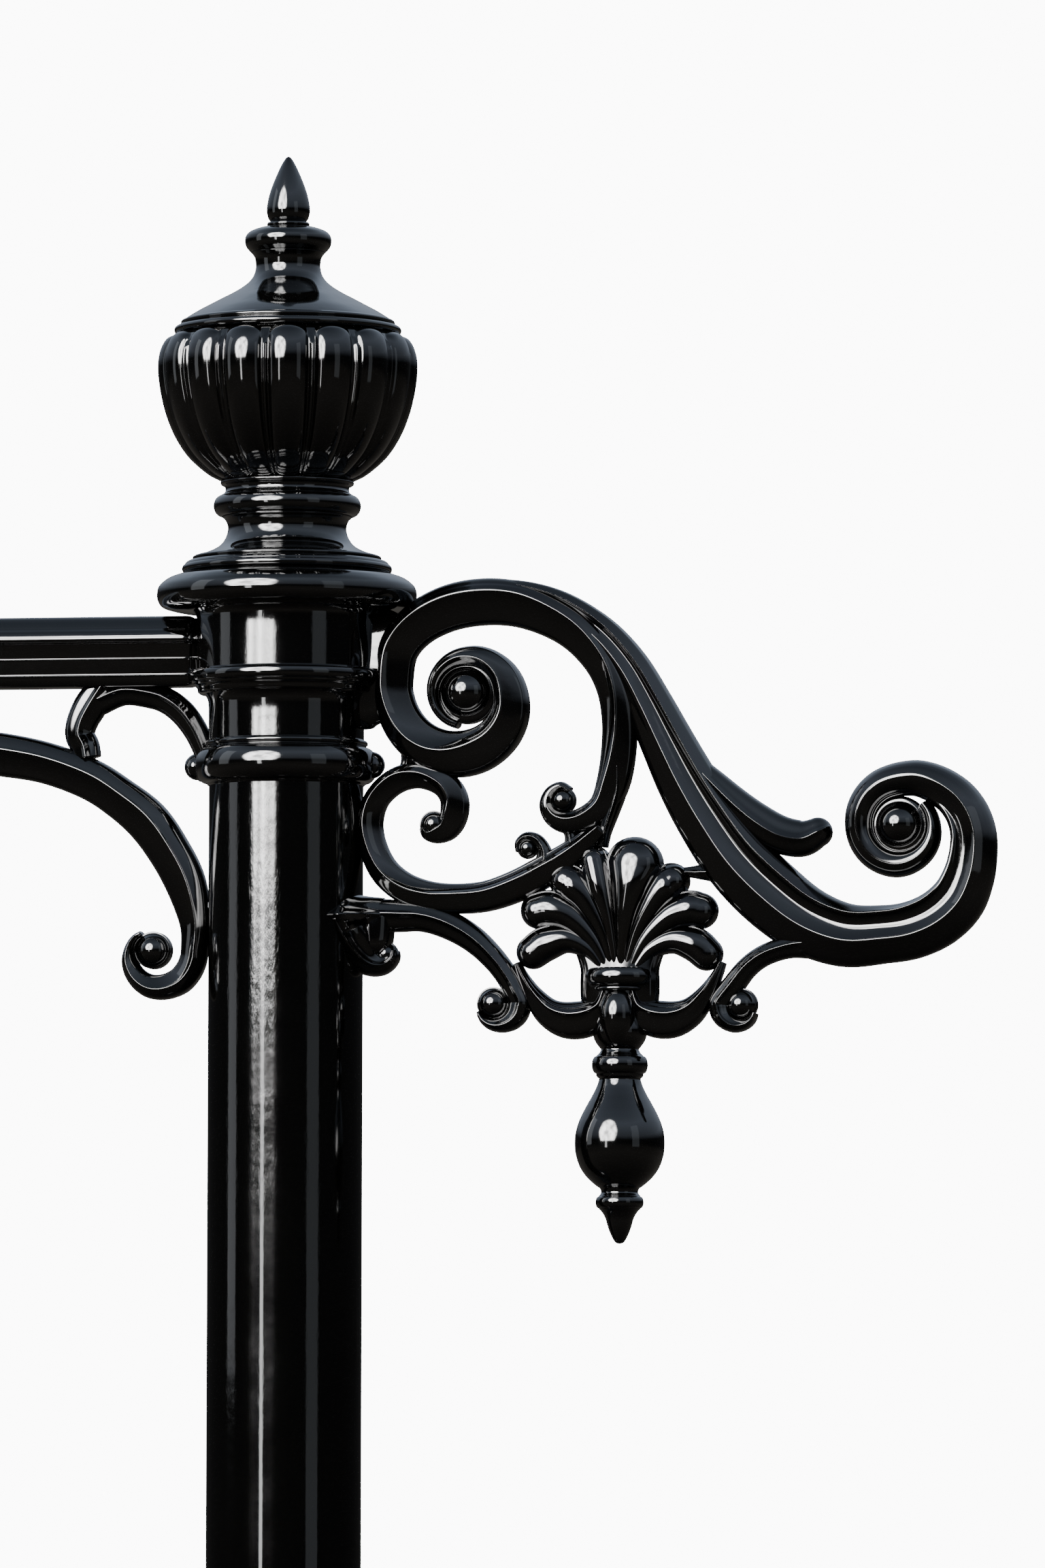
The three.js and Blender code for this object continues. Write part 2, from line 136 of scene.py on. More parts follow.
# %% [markdown]
# ## From a grid of points to a mesh
# A surface is a grid: rings of points, each ring joined to the next with four-sided faces. The two
# ends are closed with a fan round a middle point. A closed surface has a signed volume, so its sign
# says whether the faces point outwards, and the grid is turned round when they don't.

# %% Mesh from rings
made_pieces = []


def signed_volume(points, triangles):
    """Sum over the triangles of a . (b x c) / 6: positive when the faces point outwards."""
    a, b, c = (points[triangles[:, k]] for k in range(3))
    return np.einsum("ij,ij->i", a, np.cross(b, c)).sum() / 6


def skin(name, rings, material, nodes=(), closed=False):
    """Closed mesh over rings[ring, around, xyz] in millimetres, riding on the post.

    Quad k of ring r joins points k and k+1 of ring r to those of ring r+1. Open ends get a fan to
    the mean of the end ring. closed=True joins the last ring to the first instead.
    """
    rings = np.asarray(rings, float) * MM
    count, around = rings.shape[:2]
    points = rings.reshape(-1, 3)
    ring = np.arange(count if closed else count - 1)[:, None]
    side = np.arange(around)[None, :]
    after, beside = (ring + 1) % count, (side + 1) % around
    corners = [ring * around + side, ring * around + beside, after * around + beside, after * around + side]
    quads = np.stack(corners, axis=-1).reshape(-1, 4)
    fans = np.empty((0, 3), int)
    if not closed:
        points = np.vstack([points, rings[0].mean(axis=0), rings[-1].mean(axis=0)])
        k, last = np.arange(around), (count - 1) * around
        low = np.stack([k * 0 + len(points) - 2, (k + 1) % around, k], axis=-1)
        high = np.stack([k * 0 + len(points) - 1, last + k, last + (k + 1) % around], axis=-1)
        fans = np.vstack([low, high])
    halves = np.vstack([quads[:, :3], quads[:, [0, 2, 3]], fans])
    if signed_volume(points, halves) < 0:
        quads, fans = quads[:, ::-1], fans[:, ::-1]
    mesh = bpy.data.meshes.new(name)
    mesh.from_pydata(points.tolist(), [], quads.tolist() + fans.tolist())
    mesh.polygons.foreach_set("use_smooth", np.ones(len(mesh.polygons), bool))
    mesh.materials.append(material)
    piece = bpy.data.objects.new(name, mesh)
    bpy.context.scene.collection.objects.link(piece)
    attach(piece, "root")
    if nodes:
        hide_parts(*nodes)
    made_pieces.append(piece)
    print(f"{name}: {len(quads) + len(fans)} faces")
    return piece


# %% [markdown]
# ## Turned surfaces
# A turned piece is a profile spun round an axis. The post's own pieces spin round the column, the
# pendant round its own upright, and the round eyes of the scrolls round a line from front to back.


# %% Turned surfaces
def spin(profile, around=128, x=0.0, bulge=None):
    """Rings of a profile of (radius, height) spun round the upright through x.

    Point (r, z) at angle a goes to (x + r cos a, r sin a, z). bulge(r, z, a) may change the radius.
    """
    radius, height = (np.asarray(profile, float)[:, k, None] for k in (0, 1))
    angle = np.linspace(0, 2 * math.pi, around, endpoint=False)[None, :]
    grown = radius + 0 * angle if bulge is None else bulge(radius, height, angle)
    return np.stack([x + grown * np.cos(angle), grown * np.sin(angle), height + 0 * angle], axis=-1)


def spin_forward(profile, centre, around=64):
    """Rings of a profile of (radius, depth) spun round the front-to-back line through centre (x, z)."""
    rings = spin(profile, around)
    return np.stack([centre[0] + rings[..., 0], rings[..., 2], centre[1] + rings[..., 1]], axis=-1)


def bead(inner, outer, bottom, top, count=17):
    """Half-ellipse from (inner, bottom) out to outer and back to (inner, top)."""
    angle = np.linspace(-math.pi / 2, math.pi / 2, count)
    middle, half = (bottom + top) / 2, (top - bottom) / 2
    return np.stack([inner + (outer - inner) * np.cos(angle), middle + half * np.sin(angle)], axis=-1)


def run(*stretches):
    """One profile from several stretches, end to end."""
    return np.vstack([np.asarray(stretch, float) for stretch in stretches])


print("a bead has", len(bead(1, 2, 0, 1)), "points")

# %% [markdown]
# ## Gloss enamel
# The post is cast iron under several coats of black enamel. Wet-looking enamel is a smooth dark
# surface whose reflections are broken by three small things: the skin of the casting under the
# paint, the drag of the brush, and dull patches where dust and weather have dimmed the gloss.
# Each is a node group, so that every enamel can use them with its own scale and strength.


# %% Node helpers
def new_group(name, inputs, outputs):
    """Empty shader node group with named sockets. inputs and outputs are {name: socket type}."""
    tree = bpy.data.node_groups.new(name, "ShaderNodeTree")
    for way, sockets in (("INPUT", inputs), ("OUTPUT", outputs)):
        for label, kind in sockets.items():
            tree.interface.new_socket(name=label, in_out=way, socket_type=kind)
    return tree, tree.nodes.new("NodeGroupInput"), tree.nodes.new("NodeGroupOutput")


def node(tree, kind, inputs=None, **settings):
    """New node with its settings, and its inputs set to values or linked from output sockets."""
    made = tree.nodes.new(kind)
    for key, value in settings.items():
        setattr(made, key, value)
    for key, value in (inputs or {}).items():
        if isinstance(value, bpy.types.NodeSocket):
            tree.links.new(value, made.inputs[key])
        else:
            made.inputs[key].default_value = value
    return made


def maths(tree, operation, a, b=0.0, c=0.0):
    """Result of a Math node on two or three values."""
    return node(tree, "ShaderNodeMath", {0: a, 1: b, 2: c}, operation=operation).outputs[0]


FLOAT, VECTOR, COLOUR = "NodeSocketFloat", "NodeSocketVector", "NodeSocketColor"


# %% Casting skin and brush drag
def casting_skin():
    """Height of the sand-cast skin under paint: two sizes of soft noise, plus a few small pimples."""
    tree, given, result = new_group(
        "casting_skin", {"Scale": FLOAT, "Pimples": FLOAT}, {"Height": FLOAT}
    )
    place = node(tree, "ShaderNodeTexCoord").outputs["Object"]
    swell = node(tree, "ShaderNodeTexNoise", {"Vector": place, "Scale": given.outputs["Scale"],
                                              "Detail": 2.0})
    finer = maths(tree, "MULTIPLY", given.outputs["Scale"], 4.3)
    peel = node(tree, "ShaderNodeTexNoise", {"Vector": place, "Scale": finer, "Detail": 1.0})
    spots = node(
        tree, "ShaderNodeTexVoronoi",
        {"Vector": place, "Scale": maths(tree, "MULTIPLY", given.outputs["Scale"], 2.2)},
    )
    pimple = maths(tree, "SUBTRACT", 0.10, spots.outputs["Distance"])
    pimple = maths(tree, "MULTIPLY", maths(tree, "MAXIMUM", pimple, 0.0), given.outputs["Pimples"])
    height = maths(tree, "MULTIPLY_ADD", peel.outputs["Fac"], 0.22, swell.outputs["Fac"])
    tree.links.new(maths(tree, "ADD", height, pimple), result.inputs["Height"])
    return tree


def brush_drag():
    """Height of brush marks: noise stretched along the stroke, fading in and out in patches."""
    tree, given, result = new_group(
        "brush_drag", {"Stretch": VECTOR, "Scale": FLOAT}, {"Height": FLOAT}
    )
    place = node(tree, "ShaderNodeTexCoord").outputs["Object"]
    drawn = node(tree, "ShaderNodeVectorMath", {0: place, 1: given.outputs["Stretch"]}, operation="MULTIPLY")
    marks = node(
        tree, "ShaderNodeTexNoise",
        {"Vector": drawn.outputs[0], "Scale": given.outputs["Scale"], "Detail": 4.0, "Roughness": 0.6},
    )
    cloud = node(tree, "ShaderNodeTexNoise", {"Vector": place, "Scale": 9.0, "Detail": 3.0})
    patches = node(tree, "ShaderNodeMapRange", {"Value": cloud.outputs["Fac"], "From Min": 0.4,
                                                "From Max": 0.65})
    tree.links.new(maths(tree, "MULTIPLY", marks.outputs["Fac"], patches.outputs["Result"]),
                   result.inputs["Height"])
    return tree


CASTING_SKIN, BRUSH_DRAG = casting_skin(), brush_drag()
print("groups:", [g.name for g in bpy.data.node_groups])


# %% Dimmed gloss
def dimmed_gloss():
    """Roughness and tint of enamel: smooth, with dim clouds and a film of dust in some of them."""
    tree, given, result = new_group(
        "dimmed_gloss",
        {"Gloss": FLOAT, "Dim": FLOAT, "Paint": COLOUR, "Dust": COLOUR},
        {"Roughness": FLOAT, "Color": COLOUR},
    )
    place = node(tree, "ShaderNodeTexCoord").outputs["Object"]
    cloud = node(tree, "ShaderNodeTexNoise", {"Vector": place, "Scale": 14.0, "Detail": 5.0,
                                              "Roughness": 0.65})
    dim = node(tree, "ShaderNodeMapRange", {"Value": cloud.outputs["Fac"], "From Min": 0.42,
                                            "From Max": 0.72})
    speck = node(tree, "ShaderNodeTexNoise", {"Vector": place, "Scale": 420.0, "Detail": 1.0})
    dust = node(tree, "ShaderNodeMapRange", {"Value": speck.outputs["Fac"], "From Min": 0.62,
                                             "From Max": 0.78})
    film = maths(tree, "MULTIPLY", dim.outputs["Result"], dust.outputs["Result"])
    rough = maths(tree, "MULTIPLY_ADD", dim.outputs["Result"], given.outputs["Dim"], given.outputs["Gloss"])
    tint = node(
        tree, "ShaderNodeMix",
        {0: maths(tree, "MULTIPLY", film, 0.35), 6: given.outputs["Paint"], 7: given.outputs["Dust"]},
        data_type="RGBA",
    )
    tree.links.new(rough, result.inputs["Roughness"])
    tree.links.new(tint.outputs[2], result.inputs["Color"])
    return tree


DIMMED_GLOSS = dimmed_gloss()
print("gloss group ready")


# %% Enamel materials
def enamel(name, skin_scale, stroke, stroke_scale, skin_relief, stroke_relief, gloss=0.06, dim=0.045):
    """Black enamel. stroke is the squeeze of the brush marks along X, Y and Z, small along the stroke."""
    material = bpy.data.materials.new(name)
    material.use_nodes = True
    tree = material.node_tree
    paint = tree.nodes["Principled BSDF"]
    paint.inputs["IOR"].default_value = 1.52
    paint.inputs["Coat Weight"].default_value = 0.6
    paint.inputs["Coat Roughness"].default_value = 0.03
    cast = node(tree, "ShaderNodeGroup", node_tree=CASTING_SKIN)
    cast.inputs["Scale"].default_value = skin_scale
    cast.inputs["Pimples"].default_value = 0.15
    drag = node(tree, "ShaderNodeGroup", node_tree=BRUSH_DRAG)
    drag.inputs["Stretch"].default_value = stroke
    drag.inputs["Scale"].default_value = stroke_scale
    finish = node(tree, "ShaderNodeGroup", node_tree=DIMMED_GLOSS)
    finish.inputs["Gloss"].default_value = gloss
    finish.inputs["Dim"].default_value = dim
    finish.inputs["Paint"].default_value = (0.0003, 0.0003, 0.0003, 1.0)
    finish.inputs["Dust"].default_value = (0.001, 0.001, 0.001, 1.0)
    tree.links.new(finish.outputs["Color"], paint.inputs["Base Color"])
    tree.links.new(finish.outputs["Roughness"], paint.inputs["Roughness"])
    relief = maths(
        tree, "MULTIPLY_ADD", drag.outputs["Height"], stroke_relief,
        maths(tree, "MULTIPLY", cast.outputs["Height"], skin_relief),
    )
    bump = node(tree, "ShaderNodeBump", {"Height": relief, "Strength": 1.0, "Distance": MM})
    tree.links.new(bump.outputs["Normal"], paint.inputs["Normal"])
    return material


COLUMN_ENAMEL = enamel("column_enamel", 30.0, (1.0, 1.0, 0.25), 340.0, 0.12, 0.12)
TURNED_ENAMEL = enamel("turned_enamel", 34.0, (1.0, 1.0, 0.25), 220.0, 0.22, 0.06)
CAST_ENAMEL = enamel("cast_enamel", 40.0, (0.5, 1.0, 0.5), 200.0, 0.22, 0.05)
RAIL_ENAMEL = enamel("rail_enamel", 30.0, (0.05, 1.0, 1.0), 280.0, 0.18, 0.10)
print("enamels:", [m.name for m in (COLUMN_ENAMEL, TURNED_ENAMEL, CAST_ENAMEL, RAIL_ENAMEL)])


# %% [markdown]
# ## Bare steel of the fixings
# Bolts, the tie rod and the spigots are plain plated steel. Their grain runs round the turning, and
# the plating is a little duller in patches.

# %% Plated steel
def plated_steel():
    """Plated steel with a fine grain round Z, from the same two groups as the enamel."""
    material = bpy.data.materials.new("plated_steel")
    material.use_nodes = True
    tree = material.node_tree
    metal = tree.nodes["Principled BSDF"]
    metal.inputs["Metallic"].default_value = 1.0
    finish = node(tree, "ShaderNodeGroup", node_tree=DIMMED_GLOSS)
    finish.inputs["Gloss"].default_value = 0.28
    finish.inputs["Dim"].default_value = 0.25
    finish.inputs["Paint"].default_value = (0.42, 0.43, 0.44, 1.0)
    finish.inputs["Dust"].default_value = (0.20, 0.18, 0.15, 1.0)
    drag = node(tree, "ShaderNodeGroup", node_tree=BRUSH_DRAG)
    drag.inputs["Stretch"].default_value = (0.1, 0.1, 1.0)
    drag.inputs["Scale"].default_value = 900.0
    bump = node(tree, "ShaderNodeBump", {"Height": drag.outputs["Height"], "Strength": 0.4,
                                         "Distance": 0.1 * MM})
    tree.links.new(finish.outputs["Color"], metal.inputs["Base Color"])
    tree.links.new(finish.outputs["Roughness"], metal.inputs["Roughness"])
    tree.links.new(bump.outputs["Normal"], metal.inputs["Normal"])
    return material


STEEL = plated_steel()


def repaint(name, material):
    """Gives a node that is shown as it is a better material in every slot."""
    slots = frame["nodes"][name].data.materials
    slots.clear()
    slots.append(material)


for fixing in frame["record"]["subparts"]:
    if fixing["material_slot"] == "steel":
        repaint(fixing["node"], STEEL)
repaint("base_flange", CAST_ENAMEL)
print("steel fixings repainted")

# %% [markdown]
# ## Column and collars
# The column is a plain tube, and the collars that dress its joint are turned rings. Each outline is
# a run of straight steps, beads and hollow curves, in radius and height, and it is spun round the
# column's axis. The heights come from the frame's own pieces, so a ring sits where its node sits.


# %% Heights from the frame
def span(name):
    """Bottom and top of a node in millimetres."""
    low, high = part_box(name)
    return low[2] / MM, high[2] / MM


COLUMN_FOOT, COLUMN_TOP = span("column_tube")
RING_LOW, RING_HIGH = span("lower_ring")
MIDDLE_HIGH = span("middle_ring")[1]
COLUMN_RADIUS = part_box("column_tube")[1][0] / MM
print("column radius and top:", round(COLUMN_RADIUS, 2), round(COLUMN_TOP, 1))


# %% Column and foot
def tube_wall(radius, wall, bottom, top):
    """Closed section of a tube: up the outside, over the rim and down the inside."""
    inside = radius - wall
    rim = [(radius, top - 0.5), (radius - 0.5, top), (inside + 0.5, top), (inside, top - 0.5)]
    return [(radius, z) for z in np.linspace(bottom, top - 1, 24)] + rim + [(inside, bottom)]


skin("column", spin(tube_wall(COLUMN_RADIUS, 6, COLUMN_FOOT, COLUMN_TOP), 160), COLUMN_ENAMEL,
     ["column_tube"], closed=True)

FOOT = run(
    [(57.2, 14.3), (85, 14.3), (85.8, 15), (86, 16), (86, 19)],
    flow([(86, 19.5), (84, 21.5), (79.5, 23.5), (77.5, 27), (77, 29.5)]),
    bead(72, 78.5, 30, 42),
    flow([(70, 42.5), (65.5, 44.5), (62.2, 49), (60.5, 55), (60, 57)]),
    [(59.5, 57.6), (57.2, 57.6)],
)
skin("foot_ring", spin(FOOT, 128), TURNED_ENAMEL, ["foot_moulding"])


# %% Collars round the joint
def turning(name, node_name, outline, around=144):
    """Turned piece in place of a node. The outline is radius, and height above the node's foot."""
    placed = outline + [0, span(node_name)[0]]
    return skin(name, spin(placed, around), TURNED_ENAMEL, [node_name])


turning("lower_collar", "lower_ring", run(
    [(57.1, -2), (58.2, -1.4), (58.6, -0.2)],
    bead(59.5, 67.5, 0, 26, 33),
    bead(58.2, 60.2, 27, 31.4, 9),
    [(57.6, 32)],
))

NECK = run(
    [(57.3, RING_HIGH - 6)],
    flow([(57.4, RING_HIGH + 4), (57.4, 722), (57.6, 734), (58.8, 739), (61.5, 742.5)], 6),
)
skin("neck", spin(NECK, 144), COLUMN_ENAMEL, ["neck_sleeve"])

turning("middle_collar", "middle_ring", run(
    [(58, -1.6), (64.2, -1), (65.4, 0)],
    flow([(65.6, 0.8), (66.2, 3.2), (68.4, 5.2), (68.8, 6.4)], 6),
    flow([(69.2, 6.6), (71, 8.2), (71.6, 11.4), (70.8, 14.6), (68, 16.4), (66.4, 17)]),
))

DRUM = run(
    [(66.4, MIDDLE_HIGH - 4)],
    flow([(66.4, MIDDLE_HIGH), (66.4, 780), (66.5, 796), (67.4, 801), (70.5, 804.6)], 6),
)
skin("drum_shell", spin(DRUM, 144), COLUMN_ENAMEL, ["drum"])

turning("cornice_ring", "cornice", run(
    [(66.6, -1.5), (83, -1.2), (86, -0.6)],
    flow([(88.5, 0), (92.6, 1.6), (95.2, 5.5), (96, 10.5), (94.8, 16), (91, 20), (86.5, 22.8), (80, 25)]),
    [(77.4, 25.8), (76.6, 26)],
), 160)

# %% [markdown]
# ## Finial
# The finial stands on a stepped base with a hollow neck, then a neck ring, the fluted bowl, its lid,
# a knob and a pointed spire. All but the bowl are plain turnings.

# %% Finial turnings
turning("finial_foot", "finial_base", run(
    [(60, -2), (75.4, 0.2)],
    bead(75.4, 77.6, 0.6, 6.4, 11),
    flow([(75.6, 7), (73.8, 8.8), (70.4, 10)], 5),
    bead(68.2, 69.8, 10.2, 13, 7),
    flow([(67.4, 13.4), (62, 14.8), (55, 17.6), (49.4, 21.2), (45.8, 26), (44, 31.4), (44, 35.64),
          (45.6, 39.52), (47.6, 41.57)]),
    [(48, 42.18)],
))

turning("finial_neck_ring", "neck_ring", run(
    [(46, -1.34)],
    bead(48.4, 54.5, 0.09, 15.43),
    flow([(48.4, 16.04), (46.4, 17.47), (45.7, 19.72), (46.2, 21.97), (47, 22.58)], 5),
    bead(47.4, 49.4, 22.79, 26.67, 9),
    [(46, 27.29)],
), 128)

turning("urn_cover", "urn_lid", run(
    [(70, 0.01), (81.4, 2.46)],
    bead(81.6, 84, 2.66, 8.18, 11),
    [(80.6, 9), (79.4, 9.21)],
    bead(77.6, 79.2, 9.41, 12.68, 7),
    flow([(76.8, 13.09), (72.4, 15.96), (66, 19.84), (58, 24.14), (49.6, 28.63), (41, 33.13), (34, 37.43),
          (28.6, 41.93), (25.4, 46.63), (24, 51.74), (24, 55.63), (24.8, 59.72), (27.4, 63.4)]),
))

turning("cover_knob", "lid_knob", run(
    [(24, -0.71)],
    flow([(28, 0.11), (31, 3.79), (32, 7.88), (31.4, 11.97), (28.4, 15.24), (23, 17.49), (17.4, 18.92)]),
    bead(14.4, 15.8, 19.13, 22.19, 7),
    [(12.4, 22.4)],
), 112)

turning("spire_tip", "spire", run(
    [(12, 0.97)],
    flow([(13, 2.2), (14.9, 5.06), (16, 9.77), (15.7, 15.29), (14.2, 22.44), (12.1, 28.99), (9, 36.76),
          (5.2, 44.94), (2.4, 49.44), (0.9, 50.87), (0.05, 51.08)]),
), 96)

# %% [markdown]
# ## Fluted bowl
# Sixteen convex lobes stand round the bowl. Across one lobe the surface is part of a circle, and its
# top is a round arch under the lid. A thin raised fillet runs in each crease. The lobes share one
# formula in angle and height, so they all come out of a single grid.

# %% Urn bowl
LOBES, LOBE_RISE, LOBE_SHARE = 16, 0.082, 0.84
URN_FOOT = span("urn_bowl")[0]
URN_OUTLINE = flow(
    [(46.5, 1.44), (50, 2.25), (57, 5.53), (65.6, 12.07), (73.6, 19.84), (80.4, 29.45), (86.2, 40.7),
     (90.6, 52.97), (93.6, 65.24), (95.4, 76.49), (96, 85.69), (95.6, 92.85), (94.2, 98.98), (91.6, 104.71),
     (87.8, 109.21), (82, 111.87)],
    7,
) + [0, URN_FOOT]
ARCH_SPRING, ARCH_RISE = URN_FOOT + 97.45, 13.0


def gadroon(radius, height, angle):
    """Radius of the fluted bowl at a height and an angle round it.

    s runs from -1 to 1 across a lobe. The lobe stands up by sqrt(1 - (s/share)^2) of its rise, and
    stops at an arch whose height also follows a circle in s. Past the lobe's share, a fillet stands
    up in the crease as a parabola. The base surface between them is set back by the whole rise.
    """
    s = (angle * LOBES / (2 * math.pi)) % 1.0 * 2 - 1
    across = np.clip(1 - (s / LOBE_SHARE) ** 2, 0, 1)
    arch_top = ARCH_SPRING + ARCH_RISE * np.sqrt(np.clip(1 - s**2, 0, 1))
    under_arch = 1 / (1 + np.exp((height - arch_top) / 0.9))
    fillet = np.clip(1 - ((1 - np.abs(s)) / 0.11) ** 2, 0, 1)
    rise = LOBE_RISE * radius
    return radius - rise * (1 - np.maximum(across**0.5 * under_arch, 0.55 * fillet * under_arch + 0.10))


URN_PROFILE = run([(46, URN_FOOT + 0.82)], URN_OUTLINE, [(70, URN_FOOT + 112.28)])
skin("fluted_bowl", spin(URN_PROFILE, LOBES * 36, bulge=gadroon), TURNED_ENAMEL, ["urn_bowl"])

# %% [markdown]
# ## Moulded bars
# Rail, brace and scrollwork are all bars of a moulded section that follow a centreline in the upright
# plane through the post. The front of a section is a few points of (across, proud): across runs from
# -1 at the outer edge of the bend to 1 at the inner edge, and proud is the share of the bar's half
# depth. The back mirrors the front. Width and depth change along the bar, so one section serves a
# thick arm and a thin tendril.


# %% Sections
def rounded(front, share):
    """Blends a front towards a plain half round, proud = sqrt(1 - across^2), by the share given."""
    half_round = np.sqrt(1.0 - front[:, 0] ** 2)
    return np.stack([front[:, 0], front[:, 1] * (1 - share) + half_round * share], axis=-1)


def ridged(crest=-0.44, share=0.0):
    """Front of the common section: a round outer flank up to a sharp crest, then a fall to the inner edge."""
    return rounded(np.array([
        (-1.00, 0.00), (-0.985, 0.28), (-0.93, 0.48), (-0.84, 0.62), (-0.73, 0.72),
        (0.5 * crest - 0.42, 0.84), (crest - 0.09, 0.95), (crest - 0.03, 0.995), (crest + 0.03, 1.00),
        (crest + 0.08, 0.955), (0.72 * crest + 0.24, 0.80), (0.40 * crest + 0.44, 0.665),
        (0.14 * crest + 0.62, 0.58), (0.78, 0.53), (0.85, 0.49), (0.95, 0.30), (1.00, 0.00),
    ]), share)


def twin_ridged(outer=-0.21, inner=0.70, share=0.0):
    """Front of the arm's section: two crests, each rising from the inner side, with a wide cove between."""
    return rounded(np.array([
        (-1.00, 0.00), (-0.98, 0.26), (-0.90, 0.45), (-0.80, 0.57), (-0.70, 0.655), (-0.52, 0.79),
        (outer - 0.12, 0.94), (outer - 0.03, 0.995), (outer + 0.02, 1.00), (outer + 0.07, 0.95),
        (outer + 0.22, 0.83), (outer + 0.38, 0.73), (0.5 * (outer + inner) + 0.10, 0.70),
        (inner - 0.16, 0.79), (inner - 0.05, 0.935), (inner, 0.965), (inner + 0.04, 0.94), (0.88, 0.66),
        (0.95, 0.48), (0.99, 0.28), (1.00, 0.00),
    ]), share)


def plain_ridged(crest=0.0):
    """Front of the light scrolls: round flanks up to one crest, with a shallow cove on its inner side."""
    return np.array([
        (-1.00, 0.00), (-0.96, 0.32), (-0.84, 0.56), (-0.66, 0.73), (crest - 0.26, 0.87),
        (crest - 0.07, 0.985), (crest, 1.00), (crest + 0.08, 0.95), (crest + 0.30, 0.78), (0.62, 0.64),
        (0.84, 0.48), (0.96, 0.27), (1.00, 0.00),
    ])


def fading(front, count, start):
    """Count fronts, one for each path point, blended to a half round from the start index on."""
    shares = np.interp(np.arange(count), [start, count - 1], [0.0, 0.95])
    return np.stack([rounded(front, share) for share in shares])


def both_sides(front):
    """Closed section from the front points: the back repeats them with proud turned negative."""
    back = front[..., -2:0:-1, :] * np.array([1.0, -1.0])
    return np.concatenate([front, back], axis=-2)


print("section points:", len(both_sides(ridged())))


# %% Sweeping a bar
def spiral(eye, knots, step=15.0):
    """Centreline points (x, z, width) round an eye from knots of (angle, radius, width).

    Radius and width change evenly between knots. Angles are degrees from +X towards +Z.
    """
    knots = np.asarray(knots, float)
    turn = np.sign(knots[-1, 0] - knots[0, 0])
    count = int(abs(knots[-1, 0] - knots[0, 0]) / step) + 1
    angle = np.linspace(knots[0, 0], knots[-1, 0], count)
    order = knots[:, 0] * turn
    radius = np.interp(angle * turn, order, knots[:, 1])
    width = np.interp(angle * turn, order, knots[:, 2])
    a = np.radians(angle)
    return np.stack([eye[0] + radius * np.cos(a), eye[1] + radius * np.sin(a), width], axis=-1)


def swept(path, section, proud, per=7, fine=4, outer_left=False, nose=(False, False)):
    """Rings of a bar along path points (x, z, width).

    Ring point = centre + normal * across * width/2, and its depth is -proud * half depth. The normal
    is the tangent turned a quarter turn left. section is one front, or one front for each path
    point. nose rounds an end off: extra rings shrink as the cosine while they move on as the sine.
    """
    path = np.asarray(path, float)
    weights = spline_weights(len(path), per)
    line = weights @ path
    depth = weights @ np.interp(np.linspace(0, 1, len(path)), np.linspace(0, 1, len(proud)), proud)
    fronts = np.broadcast_to(section, (len(path), *np.shape(section)[-2:]))
    ring = spline_weights(2 * fronts.shape[1] - 2, fine, closed=True)
    shape = np.einsum("np,pkc->nkc", weights, both_sides(fronts))
    shape = np.einsum("sk,nkc->nsc", ring, shape)
    tangent = np.gradient(line[:, :2], axis=0)
    tangent /= np.linalg.norm(tangent, axis=1, keepdims=True)
    centre = line[:, :2]
    scale = np.ones(len(line))
    half = line[:, 2] / 2
    for end, wanted in ((0, nose[0]), (-1, nose[1])):
        if not wanted:
            continue
        swing = np.linspace(0, math.pi / 2 * 0.97, 9)[1:]
        out = -1.0 if end == 0 else 1.0
        order = slice(None, None, -1) if end == 0 else slice(None)
        more = (centre[end] + out * tangent[end] * (half[end] * np.sin(swing))[:, None])[order]
        parts = [(centre, more), (scale, np.cos(swing)[order])]
        parts += [(a, np.repeat(a[[end]], len(swing), axis=0)) for a in (tangent, half, depth, shape)]
        joined = [np.concatenate((b, a) if end == 0 else (a, b)) for a, b in parts]
        centre, scale, tangent, half, depth, shape = joined
    normal = np.stack([-tangent[:, 1], tangent[:, 0]], axis=-1) * (-1 if outer_left else 1)
    across = shape[..., 0] * (half * scale)[:, None]
    deep = -shape[..., 1] * (depth * scale)[:, None]
    right = centre[:, None, 0] + normal[:, None, 0] * across
    up = centre[:, None, 1] + normal[:, None, 1] * across
    return np.stack([right, deep, up], axis=-1)


def cast(name, path, front, depths, nodes=(), **how):
    """One bar of the casting: the rings that swept() makes, skinned in cast enamel."""
    return skin(name, swept(path, front, depths, **how), CAST_ENAMEL, nodes)


def round_eye(name, centre, ball, web=1.5, floor=5.0):
    """Round eye of a scroll: a ball standing out of a thin web, the same in front and behind.

    The ball is an arc of (ball sin t, ball cos t) down to the rim. The rim stands past the ball by
    web, and floor is half its depth.
    """
    arc = np.linspace(0.02, math.pi / 2 - math.asin(floor / ball), 16)
    front = run(
        np.stack([ball * np.sin(arc), -ball * np.cos(arc)], axis=-1),
        [(ball + 0.3, -floor + 0.2), (ball + web - 0.3, -floor + 0.2), (ball + web, -floor + 1.0)],
    )
    return skin(name, spin_forward(run(front, front[::-1] * [1, -1]), centre), CAST_ENAMEL)


print("one turn of a spiral:", spiral((0, 0), [(0, 20, 5), (360, 10, 3)]).shape)

# %% [markdown]
# ## Rail
# The rail is a moulded handrail: a sloped top, a round nosing that overhangs, and two thin beads
# lower down. Its moulded face stops short of the drum in a rounded end, and a plainer core carries
# on into the casting.

